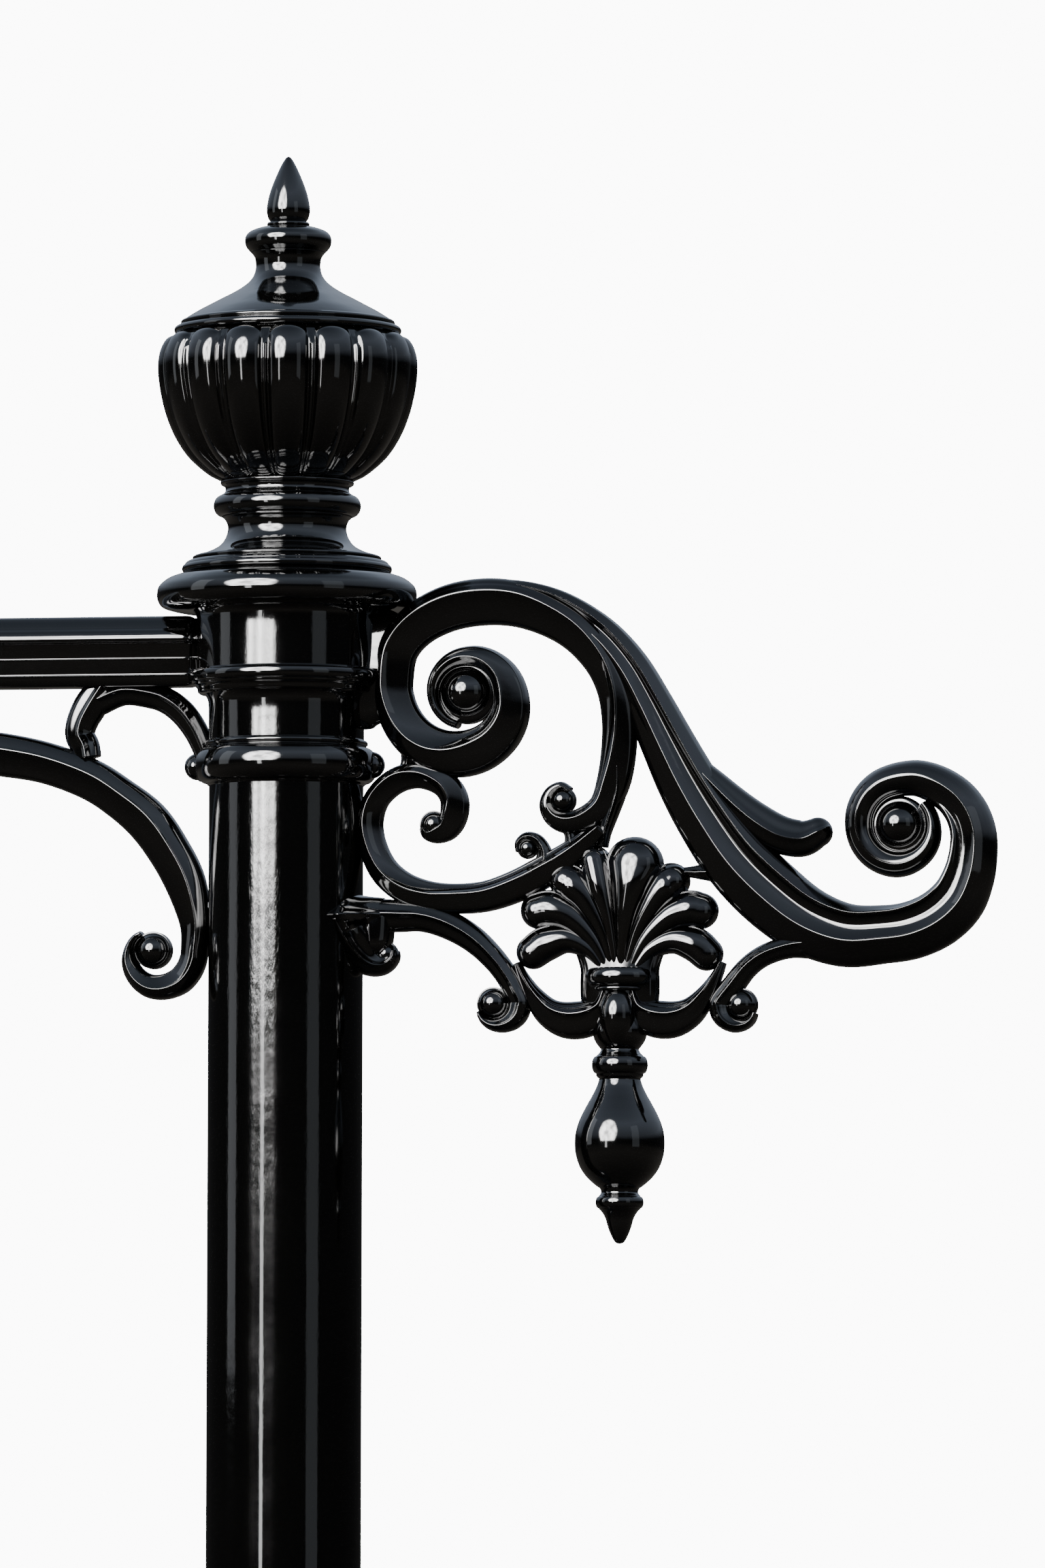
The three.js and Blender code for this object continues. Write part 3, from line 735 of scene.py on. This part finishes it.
# %% Rail
RAIL_LOW, RAIL_TOP = span("rail")
RAIL_MIDDLE = (RAIL_LOW + RAIL_TOP) / 2
RAIL_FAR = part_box("rail")[0][0] / MM
RAIL_FACE = run(
    flow([(0, 26.2), (4, 26.1), (8, 24.8), (11.4, 21.8), (13.8, 18.4), (15.0, 16.2)], 4),
    flow([(15.8, 15.6), (18.2, 13.4), (19.6, 10.6), (20, 8.2), (19.2, 6.4), (17.2, 5.6), (16.2, 5.2)], 5),
    [(15.8, 4.4), (15.6, -5.4)],
    bead(15.4, 15.9, -6.5, -5.9, 7)[::-1],
    [(15.2, -7.8), (15, -17.2)],
    bead(14.8, 15.2, -18.6, -18.1, 7)[::-1],
    [(14.4, -20.2), (13.8, -25.4), (12.8, -26.2), (0, -26.2)],
)
RAIL_CORE = RAIL_FACE * [0.86, 0.93]
MOULDING_STOP, MOULDING_ROUND, MOULDING_STATIONS = -75, 7, 23


def long_bar(section, stations, shrink):
    """Rings along X at each station from (depth, height) points, mirrored behind, scaled by shrink."""
    whole = run(section, section[-2:0:-1] * [-1, 1])
    stations, shrink = np.asarray(stations, float), np.asarray(shrink, float)
    x = stations[:, None] + 0 * whole[None, :, 0]
    deep = -whole[None, :, 0] * shrink[:, None]
    high = RAIL_MIDDLE + whole[None, :, 1] * (0.25 + 0.75 * shrink[:, None])
    return np.stack([x, deep, high], axis=-1)


turn_in = np.linspace(0, math.pi / 2, 8)[1:]
straight = np.linspace(RAIL_FAR, MOULDING_STOP, MOULDING_STATIONS)
rail_stations = np.concatenate([straight, MOULDING_STOP + MOULDING_ROUND * np.sin(turn_in)])
rail_shrink = np.concatenate([np.ones(MOULDING_STATIONS), 0.80 + 0.20 * np.cos(turn_in)])
skin("rail_moulding", long_bar(RAIL_FACE, rail_stations, rail_shrink), RAIL_ENAMEL, ["rail"])
core_stations = [MOULDING_STOP - 15, MOULDING_STOP, MOULDING_STOP + 15]
skin("rail_core", long_bar(RAIL_CORE, core_stations, [1, 1, 1]), RAIL_ENAMEL)
print("rail stations:", len(rail_stations))

# %% [markdown]
# ## Lugs of the lower collar
# A short blunt lug stands out of the lower collar on each side, and ties it to the brace and to the
# scrollwork. Both come out of one bar that runs through the column.

# %% Lugs of the lower collar
RING_MIDDLE = (RING_LOW + RING_HIGH) / 2 - 1
COLLAR_LUGS = [(-66.5, RING_MIDDLE, 20), (-62, RING_MIDDLE, 23), (-40, RING_MIDDLE, 24),
               (40, RING_MIDDLE, 24), (60, RING_MIDDLE, 23), (64, RING_MIDDLE, 20)]
cast("collar_lugs", COLLAR_LUGS, rounded(plain_ridged(0), 0.9), (9, 13, 14, 13, 9), nose=(True, True))

# %% [markdown]
# ## Brace under the rail
# The brace is a long arch that comes down to the column and curls up into a small eye. A small arch
# and a short knee fill the corner between it and the rail.

# %% Brace
BRACE_EYE = (-99, 553.5)
BRACE_ARCH = [
    (-293.5, 748.5, 30), (-280.5, 720.5, 31), (-251, 704, 32), (-214.5, 699.5, 32.5), (-181, 693, 31),
    (-148.5, 681, 31), (-126, 667, 31), (-104.5, 649.5, 33), (-88, 627, 32), (-75.5, 603, 30.5),
    (-68, 574, 23.5),
]
BRACE_CURL = spiral(BRACE_EYE, [(0, 30.5, 20), (-45, 30, 20.5), (-90, 27, 18.5), (-135, 21.5, 14),
                                (-180, 17.5, 9), (-235, 15, 5)])
brace_line = run(BRACE_ARCH, BRACE_CURL)
cast("long_arch", brace_line, fading(ridged(-0.22), len(brace_line), 12), (15, 15, 14, 11), ["brace_arch"],
     outer_left=True)
round_eye("arch_eye", BRACE_EYE, 13.0, 0.8)

SMALL_ARCH = [(-58, 690, 16), (-62.5, 703.5, 17), (-69, 717, 18.5), (-78, 729, 19.5), (-89, 737.5, 19.5),
              (-101, 742, 19.5), (-122, 744.5, 19), (-140, 738, 20)]
cast("corner_arch", SMALL_ARCH, plain_ridged(-0.15), (12, 12, 11), ["small_arch"], nose=(False, True))
KNEE = [(-137, 751, 20), (-146.5, 737, 25), (-153.5, 724, 23.5), (-155.5, 713.5, 22), (-151.5, 705, 21.5),
        (-149.5, 696, 20)]
cast("corner_knee", KNEE, plain_ridged(0.1), (13, 12, 13), ["brace_knuckle"])

# %% [markdown]
# ## Large volute
# The volute starts in a small curl, climbs round the right of the loop, passes over the top and
# winds in round a ball. A tail carries its outer edge down to the shell, and a lug ties it to the
# drum.

# %% Large volute
VOLUTE_EYE, CURL_EYE = (135.5, 742), (207, 661.5)
VOLUTE_BAND = [
    (213, 669, 5), (206, 672.5, 6), (198, 668, 8), (195, 658.5, 10.5), (200, 649.5, 14), (210, 645.5, 17),
    (222.5, 647.5, 18.5), (236.5, 657, 21), (244.5, 674, 25), (248.5, 697, 26), (249, 721, 26),
    (245.5, 744, 27), (236, 765, 28.5), (219, 784.5, 30.5), (198.5, 797.5, 32), (173.5, 806.5, 34),
    (147.5, 808.5, 35), (121.5, 804, 34.5), (98.5, 792, 32.5), (84, 774, 30.5),
]
VOLUTE_COIL = spiral(VOLUTE_EYE, [(172, 55.5, 29), (225, 50.5, 32.5), (270, 45, 35), (315, 38.5, 31),
                                  (360, 32, 25.5), (405, 28.5, 19.5), (450, 26, 15.5), (495, 25, 12.5),
                                  (540, 24.5, 10.5), (585, 24.5, 8.5), (615, 24.5, 7)])
volute_line = run(VOLUTE_BAND, VOLUTE_COIL)
station = np.arange(len(volute_line))
crests = np.interp(station, [0, 5, 8, 10, 12, 15, 20, 23.5, 26.6, 32.6, 35.6, 38.7, 44],
                   [0.2, 0.25, 0.40, 0.05, -0.20, -0.42, -0.48, -0.20, 0.30, 0.40, 0.22, 0.05, 0.0])
shares = np.interp(station, [0, 4, 7, 32, 38, 42], [0.8, 0.4, 0.1, 0.1, 0.5, 0.9])
volute_fronts = np.stack([ridged(crest, share) for crest, share in zip(crests, shares)])
cast("volute_band", volute_line, volute_fronts, (7, 12, 15, 17, 17, 17, 17, 17, 15, 12), ["volute_scroll"])
round_eye("volute_ball", VOLUTE_EYE, 18.5, 5.0)
round_eye("volute_curl_ball", CURL_EYE, 9.2, 1.0, 3.0)
TAIL = [(247.5, 687, 18), (247.5, 669, 15), (243, 652, 12), (239, 638, 9), (237.5, 627, 7)]
cast("volute_tail", TAIL, plain_ridged(0.2), (12, 11, 9))
LUG = [(46, 761, 92), (60, 761, 92), (72, 760, 88), (82, 758, 76)]
cast("volute_lug", LUG, plain_ridged(0.0), (14, 13, 12))

# %% [markdown]
# ## S-shaped arm
# The arm leaves the top of the volute as a thin blade, swells to twice the width and winds up round
# a ball at its far end. Two crests run along it with a dark cove between them. The upper one closes
# on the edge as the arm turns.

# %% S-shaped arm
ARM_EYE = (457, 641.5)
ARM_BLADE = [
    (140.5, 820, 10), (160.5, 818, 14.5), (183, 813.5, 18.5), (204, 805.5, 22), (223, 793.5, 25.5),
    (240.5, 778, 29), (257, 757, 32), (271.5, 730.5, 35.5), (285.5, 702, 40), (299.5, 674.5, 44.5),
    (316, 646.5, 48), (336.5, 617, 50.5), (361, 592, 52), (387.5, 572, 50), (416.5, 561, 47),
]
ARM_COIL = spiral(ARM_EYE, [(-98, 81, 43), (-58, 72.5, 42), (-28, 60, 36), (0, 53, 33), (45, 40, 29),
                            (90, 33, 25), (135, 31, 23), (180, 29.5, 21.5), (225, 29.2, 21),
                            (270, 28.8, 20), (315, 26.8, 16), (360, 24.4, 11.5), (400, 23.4, 9)])
arm_line = run(ARM_BLADE, ARM_COIL)
station = np.arange(len(arm_line))
outer_crest = np.interp(station, [0, 5, 12, 20, 30, 50], [-0.35, -0.25, -0.20, -0.16, -0.05, 0.0])
inner_crest = np.interp(station, [0, 6, 12, 16, 20], [0.52, 0.50, 0.62, 0.76, 0.80])
shares = np.interp(station, [0, 16, 22, 27], [0.0, 0.0, 0.45, 0.95])
arm_fronts = np.stack([twin_ridged(*front) for front in zip(outer_crest, inner_crest, shares)])
cast("arm_bar", arm_line, arm_fronts, (10, 15, 18, 19, 19, 18, 16, 14, 12), ["s_arm"])
round_eye("arm_ball", ARM_EYE, 17.0, 4.0)

LEAF = [(292, 703, 7), (303, 691, 12), (317, 676.5, 18), (335, 659, 23), (352, 645, 26.5),
        (369, 635, 28), (385, 632, 27), (396.5, 636.5, 22)]
cast("arm_leaf", LEAF, plain_ridged(-0.05), (10, 15, 17, 16, 13), ["leaf"], nose=(False, True))

# %% [markdown]
# ## Lower scrolls
# Under the volute a C-shaped scroll rests on the column, with a tendril on its back. Below it a
# lower arm leaves a flared cuff on the column and curls up before it reaches the shell.

# %% Lower scrolls
C_NOSE = (111, 644.5)
C_SCROLL = [
    (102.5, 642, 4), (105.5, 637, 7), (112.5, 637, 13), (121.5, 642, 18), (126, 652.5, 21),
    (125.5, 665, 21), (117, 675.5, 20), (100.5, 681, 19.5), (83.5, 677.5, 19.5), (69.5, 665.5, 19),
    (63.5, 649, 19.5), (65, 631, 20.5), (73.5, 612, 22), (88, 599, 23), (106.5, 592, 23),
    (126.5, 590, 22.5), (149.5, 591.5, 23), (171.5, 598.5, 24), (192.5, 609, 24), (213.5, 622, 21),
    (236.5, 641, 13),
]
C_CREST_AT = [0, 4, 6, 8, 10, 12, 15, 17, 20]
c_crests = np.interp(np.arange(21), C_CREST_AT, [0.5, 0.45, 0.1, -0.4, -0.4, -0.15, 0.26, 0.3, 0.2])
c_fronts = np.stack([ridged(crest) for crest in c_crests])
cast("c_scroll", C_SCROLL, c_fronts, (8, 12, 13, 14, 14, 13), ["lower_scroll"])
round_eye("c_scroll_ball", C_NOSE, 9.6, 0.8, 3.0)
TENDRIL = [(187.5, 602, 20), (192.5, 613, 16), (193.5, 623.5, 11.5), (188.5, 632.5, 9), (180.5, 635, 7.5),
           (174.5, 630.5, 6), (174.5, 624, 4.5)]
cast("tendril_curl", TENDRIL, fading(plain_ridged(-0.1), 7, 2), (9, 8, 7), ["tendril"])
round_eye("tendril_ball", (181, 626.5), 7.0, 0.8, 2.5)
TENDRIL_ROOT = [(190.5, 625.5, 8), (197.5, 619.5, 9), (206.5, 617.5, 10)]
cast("tendril_root", TENDRIL_ROOT, plain_ridged(0), (6, 6))

LOWER_EYE = (156, 512.5)
LOWER_ARM = [(64.5, 578, 25), (84.5, 577.5, 24), (103.5, 576.5, 22), (122.5, 570.5, 21.5), (140.5, 560, 20),
             (155.5, 546, 18), (166.5, 531.5, 17)]
LOWER_CURL = spiral(LOWER_EYE, [(8, 19.5, 17.5), (-30, 19, 16.5), (-70, 16.5, 12), (-115, 14, 7.5),
                                (-150, 12, 4)])
lower_line = run(LOWER_ARM, LOWER_CURL)
cast("lower_arm_bar", lower_line, fading(plain_ridged(-0.1), len(lower_line), 7), (14, 13, 12, 10),
     ["lower_arm"], outer_left=True)
round_eye("lower_arm_ball", LOWER_EYE, 11.4, 0.8, 4.0)

# %% Cuff on the column
CUFF = [(40, 577, 34), (43.5, 577, 40), (46.5, 577, 41), (51, 577.5, 37), (57, 578, 31), (65, 578.5, 27),
        (74, 578.5, 25)]
cast("column_cuff", CUFF, plain_ridged(0.0), (33, 39, 44, 42, 33, 21, 14), ["post_cuff"])
CUFF_LEAF = [(46, 575, 34), (51, 562.5, 34), (57.5, 551.5, 30), (65, 544, 23), (73.5, 542, 16),
             (80.5, 546.5, 11), (82, 552.5, 7)]
cast("cuff_leaf_curl", CUFF_LEAF, plain_ridged(-0.1), (38, 34, 26, 18, 13, 11, 9), ["cuff_leaf"])
CUFF_WEB = [(65, 577, 34), (66, 564, 31), (66.5, 555, 27), (67, 549, 20)]
cast("cuff_web", CUFF_WEB, rounded(plain_ridged(0), 0.7), (16, 16, 15, 11))
round_eye("cuff_leaf_ball", (75.5, 549.5), 8.4, 0.8, 3.0)

# %% [markdown]
# ## Right scroll and links
# A short scroll hangs from the arm beyond the shell, and mirrors the end of the lower arm. Small
# links tie the shell's lobes and the curls to the bars beside them, as runners left in the casting.

# %% Right scroll and links
RIGHT_EYE = (340, 510.5)
RIGHT_SCROLL = [(391.5, 554.5, 22), (375, 552.5, 17), (358, 547, 16), (345, 538, 16), (334, 524.5, 17)]
RIGHT_CURL = spiral(RIGHT_EYE, [(172, 15.5, 17), (210, 16, 16), (250, 15.5, 12), (295, 14, 7.5),
                                (330, 12, 4)])
right_line = run(RIGHT_SCROLL, RIGHT_CURL)
cast("right_scroll_bar", right_line, fading(plain_ridged(-0.1), len(right_line), 6), (13, 13, 12, 10),
     ["right_scroll"])
round_eye("right_scroll_ball", RIGHT_EYE, 11.4, 0.8, 4.0)

LINKS = {
    "link_shell_arm": [(289, 607, 9), (300, 608, 8), (312, 608, 12), (319, 608, 15)],
    "link_curl": [(206.5, 648.5, 16), (212.5, 637.5, 9), (214.5, 627.5, 14)],
    "link_volute": [(93.5, 698, 16), (91.5, 690, 11), (90.5, 683, 16)],
}
for name, line in LINKS.items():
    cast(name, line, plain_ridged(0), (8, 7, 8))

# %% [markdown]
# ## Shell
# Eight lobes fan out from a banded neck, and each one droops at its tip the further it leans. A lobe
# is a short swollen bar with a crest nearer its upper edge. The middle ones stand proudest.

# %% Shell
PENDANT_X = (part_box("pendant")[0][0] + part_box("pendant")[1][0]) / 2 / MM
BAND_LOW, BAND_HIGH = span("shell_band")
LOBE_FRONT = np.array([
    (-1.00, 0.00), (-0.99, 0.30), (-0.95, 0.47), (-0.91, 0.515), (-0.87, 0.50), (-0.80, 0.56),
    (-0.62, 0.76), (-0.38, 0.91), (-0.12, 0.985), (0.14, 1.00), (0.40, 0.955), (0.64, 0.83), (0.84, 0.60),
    (0.96, 0.31), (1.00, 0.00),
])
LOBE_LINES = {
    "shell_lobe_far_left": (14, [
        (240.5, 534, 10), (228.5, 551, 15), (211.5, 559.5, 21), (195.5, 556.5, 26), (185.5, 550, 25),
    ]),
    "shell_lobe_left": (16, [
        (243.5, 534, 9), (231.5, 558, 16), (214.5, 575.5, 24), (199.5, 581.5, 28), (189.5, 580.5, 27),
    ]),
    "shell_lobe_upper_left": (18, [
        (246.5, 534, 8), (238.5, 564, 15), (226.5, 587.5, 24), (216.5, 598.5, 28), (210.5, 602.5, 27),
    ]),
    "shell_lobe_top_left": (19, [
        (248.5, 534, 7), (243.5, 570, 14), (236.5, 597, 22), (231.5, 617, 22),
    ]),
    "shell_lobe_far_right": (14, [
        (259.5, 534, 10), (271.5, 550.5, 15), (288.5, 558.5, 21), (304.5, 555.5, 26), (314, 548, 25),
    ]),
    "shell_lobe_right": (16, [
        (256.5, 534, 9), (268.5, 558, 16), (285.5, 574.5, 24), (300.5, 580.5, 28), (309.5, 579.5, 27),
    ]),
    "shell_lobe_upper_right": (18, [
        (253.5, 534, 8), (262.5, 564, 15), (274.5, 586.5, 24), (283.5, 597.5, 28), (288.5, 601.5, 27),
    ]),
    "shell_lobe_top": (21, [
        (251, 534, 10), (253, 559, 14), (255.5, 582, 23), (259, 601, 35), (261, 613, 43),
    ]),
}
for name, (proud, line) in LOBE_LINES.items():
    leans_left = line[-1][0] < line[0][0]
    depths = (9, 0.8 * proud, proud, 0.9 * proud)
    rings = swept(line, LOBE_FRONT, depths, outer_left=not leans_left, nose=(False, True))
    skin(name, rings, CAST_ENAMEL, ["shell"] if name == "shell_lobe_top" else ())

SHELL_NECK = [(PENDANT_X, z, wide) for z, wide in ((503, 52), (515, 58), (527, 59), (538, 59), (552, 68))]
FLAT = np.array([(-1, 0), (-0.99, 0.4), (-0.95, 0.74), (-0.86, 0.95), (-0.7, 1), (0, 1), (0.7, 1),
                 (0.86, 0.95), (0.95, 0.74), (0.99, 0.4), (1, 0)], float)
cast("shell_neck", SHELL_NECK, rounded(FLAT, 0.9), (9, 11, 12, 11, 9))

# %% [markdown]
# ## Band, bud, side arms and pendant
# A round band binds the shell's neck. Below it a bud sits between two side arms that sweep up to the
# shell's outer lobes, and the turned pendant hangs under the bud.


# %% Band and bud
def flattened(rings, share):
    """Squeezes rings front to back by a share, for pieces that are wider than deep."""
    return rings * [1, share, 1]


BAND = run([(12, BAND_LOW - 1.2)], bead(21.0, 26.0, BAND_LOW - 0.4, BAND_HIGH + 0.4, 17),
           [(12, BAND_HIGH + 1)])
skin("neck_band", flattened(spin(BAND, 96, PENDANT_X), 0.8), CAST_ENAMEL, ["shell_band"])
COLLAR = run([(12, BAND_LOW - 4)], bead(17.6, 20.2, BAND_LOW - 4.4, BAND_LOW - 0.6), [(12, BAND_LOW - 0.6)])
skin("neck_collar", flattened(spin(COLLAR, 96, PENDANT_X), 0.9), CAST_ENAMEL)
BUD = flow([(3, 478.5), (7.6, 483), (11.6, 491.5), (13.4, 501.5), (12.6, 510), (9.4, 517.5), (4.6, 521.5),
            (1, 522.4)])
skin("bud_core", spin(BUD, 64, PENDANT_X) + [0, -11, 0], CAST_ENAMEL, ["bud"])
skin("bud_core_back", spin(BUD, 64, PENDANT_X) + [0, 11, 0], CAST_ENAMEL)
CALYX = flow([(14, 478.4), (18.6, 485), (20, 492), (18.6, 499.5), (16, 507), (15, 518), (15, 528)])
skin("bud_calyx", spin(CALYX, 96, PENDANT_X), CAST_ENAMEL)

# %% Side arms
SIDE_ARM = np.array([(241.5, 523, 12), (237.5, 509, 20), (226.5, 501.5, 27), (211.5, 500, 27.5),
                     (197.5, 505.5, 22), (186.5, 517.5, 15), (178.5, 531, 9), (173.5, 542, 6)])
for name, node_name, side in (("left_side_arm", "side_arm_left", 1),
                              ("right_side_arm", "side_arm_right", -1)):
    line = SIDE_ARM * [side, 1, 1] + [(1 - side) * PENDANT_X, 0, 0]
    cast(name, line, plain_ridged(0.34), (12, 16, 15, 12, 8), [node_name], outer_left=side > 0)

# %% Pendant
PENDANT = run(
    flow([(0.05, 336), (2.6, 336.6), (4.6, 339), (6.6, 343), (8.2, 347), (9.4, 351), (10.6, 355),
          (13.2, 359.4), (15.4, 361.6)], 6),
    bead(15.4, 17.7, 362, 370.6, 13),
    flow([(15.2, 371.2), (13.8, 373), (13.8, 375), (14.6, 376.6)], 5),
    flow([(16.2, 377.6), (20, 380.6), (25, 385.6), (29.2, 392), (32, 400), (33, 407.6), (32.6, 416),
          (30.6, 424), (27.4, 431.4), (23.6, 438.6), (19.8, 445.4), (16.9, 451.4), (15.4, 456)]),
    flow([(15.4, 457), (17, 458.4), (17.4, 460)], 5),
    bead(17.4, 20.6, 460.6, 473.4),
    flow([(17, 474), (15, 476), (13.9, 478.4), (14.2, 480.4), (16, 483), (17.4, 485)], 5),
)
skin("turned_pendant", spin(PENDANT, 96, PENDANT_X), TURNED_ENAMEL, ["pendant"])
print("pieces made:", len(made_pieces))

# %% [markdown]
# ## Light
# Gloss black shows little but what it reflects, so the light is made of things to reflect: dim warm
# ground, a dark belt at eye level and a slate sky. One bright cloud to the left gives the broad
# highlights, and three soft panels give the long thin lines down the column and round the scrolls.

# %% Soft dome
CLOUD_WAY = (-0.36, -0.87, 0.34)
CLOUD_RADIANCE, BACKDROP_WHITE = 48.0, 11.0
LIGHT_CENTRE = np.array([0.15, 0.0, 0.7])


def soft_dome():
    """World light by direction: dim ground, a dark belt at eye level, a slate sky and one bright cloud.

    The cloud is a round patch: its light grows with the cosine between a direction and the cloud's
    own, times a slow noise for the billows, times a step at an uneven skyline. The camera sees plain
    white behind the object, and every other ray sees this dome.
    """
    world = bpy.data.worlds.new("soft_dome")
    world.use_nodes = True
    tree = world.node_tree
    tree.nodes.clear()
    way = node(tree, "ShaderNodeTexCoord").outputs["Generated"]
    height = node(tree, "ShaderNodeSeparateXYZ", {0: way}).outputs["Z"]
    rise = node(tree, "ShaderNodeMapRange", {"Value": height, "From Min": -1.0, "From Max": 1.0})
    ramp = node(tree, "ShaderNodeValToRGB", {"Fac": rise.outputs["Result"]})
    stops = [
        (0.00, (0.03, 0.028, 0.026)), (0.35, (0.10, 0.093, 0.084)), (0.46, (0.07, 0.066, 0.06)),
        (0.50, (0.02, 0.02, 0.02)), (0.55, (0.022, 0.023, 0.025)), (0.61, (0.30, 0.34, 0.41)),
        (0.80, (0.58, 0.68, 0.84)), (1.0, (0.22, 0.27, 0.35)),
    ]
    elements = ramp.color_ramp.elements
    while len(elements) < len(stops):
        elements.new(0.5)
    for element, (position, colour) in zip(elements, stops):
        element.position = position
        element.color = (*colour, 1.0)
    toward = node(tree, "ShaderNodeVectorMath", {0: way, 1: CLOUD_WAY},
                  operation="DOT_PRODUCT").outputs["Value"]
    patch = node(tree, "ShaderNodeMapRange", {"Value": toward, "From Min": 0.905, "From Max": 0.945},
                 interpolation_type="SMOOTHSTEP")
    billow = node(tree, "ShaderNodeTexNoise", {"Vector": way, "Scale": 4.5, "Detail": 4.0, "Roughness": 0.55})
    bright = node(tree, "ShaderNodeMapRange", {"Value": billow.outputs["Fac"], "From Min": 0.35,
                                               "From Max": 0.65, "To Min": 0.30, "To Max": 1.0})
    uneven = node(tree, "ShaderNodeTexNoise", {"Vector": way, "Scale": 26.0, "Detail": 3.0})
    lifted = maths(tree, "MULTIPLY_ADD", uneven.outputs["Fac"], 0.014, maths(tree, "SUBTRACT", height, 0.007))
    skyline = node(tree, "ShaderNodeMapRange", {"Value": lifted, "From Min": 0.050, "From Max": 0.072},
                   interpolation_type="SMOOTHSTEP")
    cloud = maths(tree, "MULTIPLY", patch.outputs["Result"], bright.outputs["Result"])
    cloud = maths(tree, "MULTIPLY", cloud, skyline.outputs["Result"])
    dome = node(tree, "ShaderNodeBackground", {"Color": ramp.outputs["Color"], "Strength": 1.0})
    glow = node(tree, "ShaderNodeBackground", {"Color": (1.0, 0.99, 0.98, 1.0),
                                               "Strength": maths(tree, "MULTIPLY", cloud, CLOUD_RADIANCE)})
    sky = node(tree, "ShaderNodeAddShader", {0: dome.outputs[0], 1: glow.outputs[0]})
    paper = node(tree, "ShaderNodeBackground", {"Color": (1.0, 1.0, 1.0, 1.0), "Strength": BACKDROP_WHITE})
    seen = node(tree, "ShaderNodeLightPath").outputs["Is Camera Ray"]
    both = node(tree, "ShaderNodeMixShader", {0: seen, 1: sky.outputs[0], 2: paper.outputs[0]})
    out = node(tree, "ShaderNodeOutputWorld")
    tree.links.new(both.outputs[0], out.inputs["Surface"])
    bpy.context.scene.world = world


def panel(name, azimuth, rise, distance, width, height, radiance, colour=(1, 1, 1)):
    """Soft panel on a sphere round the post's head, facing it. Angles are degrees, sizes metres.

    The power of the lamp is radiance times area times pi.
    """
    light = bpy.data.lights.new(name, "AREA")
    light.shape, light.size, light.size_y = "RECTANGLE", width, height
    light.energy = radiance * width * height * math.pi
    light.color = colour
    lamp = bpy.data.objects.new(name, light)
    bpy.context.scene.collection.objects.link(lamp)
    a, e = math.radians(azimuth), math.radians(rise)
    back = np.array([math.sin(a) * math.cos(e), -math.cos(a) * math.cos(e), math.sin(e)])
    lamp.location = LIGHT_CENTRE + back * distance
    lamp.rotation_euler = (math.pi / 2 - e, 0.0, a)
    lamp.visible_camera = False
    return lamp


soft_dome()
panel("slit", -24.5, -1, 5.0, 0.42, 1.6, 9.0)
panel("side_strip", 52, 10, 5.0, 1.7, 3.4, 0.35, (0.85, 0.93, 1.0))
panel("far_strip", -75, 16, 5.0, 1.4, 3.6, 0.9, (0.9, 0.95, 1.0))


# %% Floor
def floor():
    """Wide pale floor just under the part. Reflections leave it out, so the enamel stays dark below."""
    bpy.ops.mesh.primitive_plane_add(size=40.0, location=(0, 0, -0.001))
    plane = bpy.context.object
    plane.name = "floor"
    material = bpy.data.materials.new("pale_floor")
    material.use_nodes = True
    surface = material.node_tree.nodes["Principled BSDF"]
    surface.inputs["Base Color"].default_value = (0.82, 0.81, 0.80, 1.0)
    surface.inputs["Roughness"].default_value = 0.9
    plane.data.materials.append(material)
    plane.visible_glossy = False


floor()
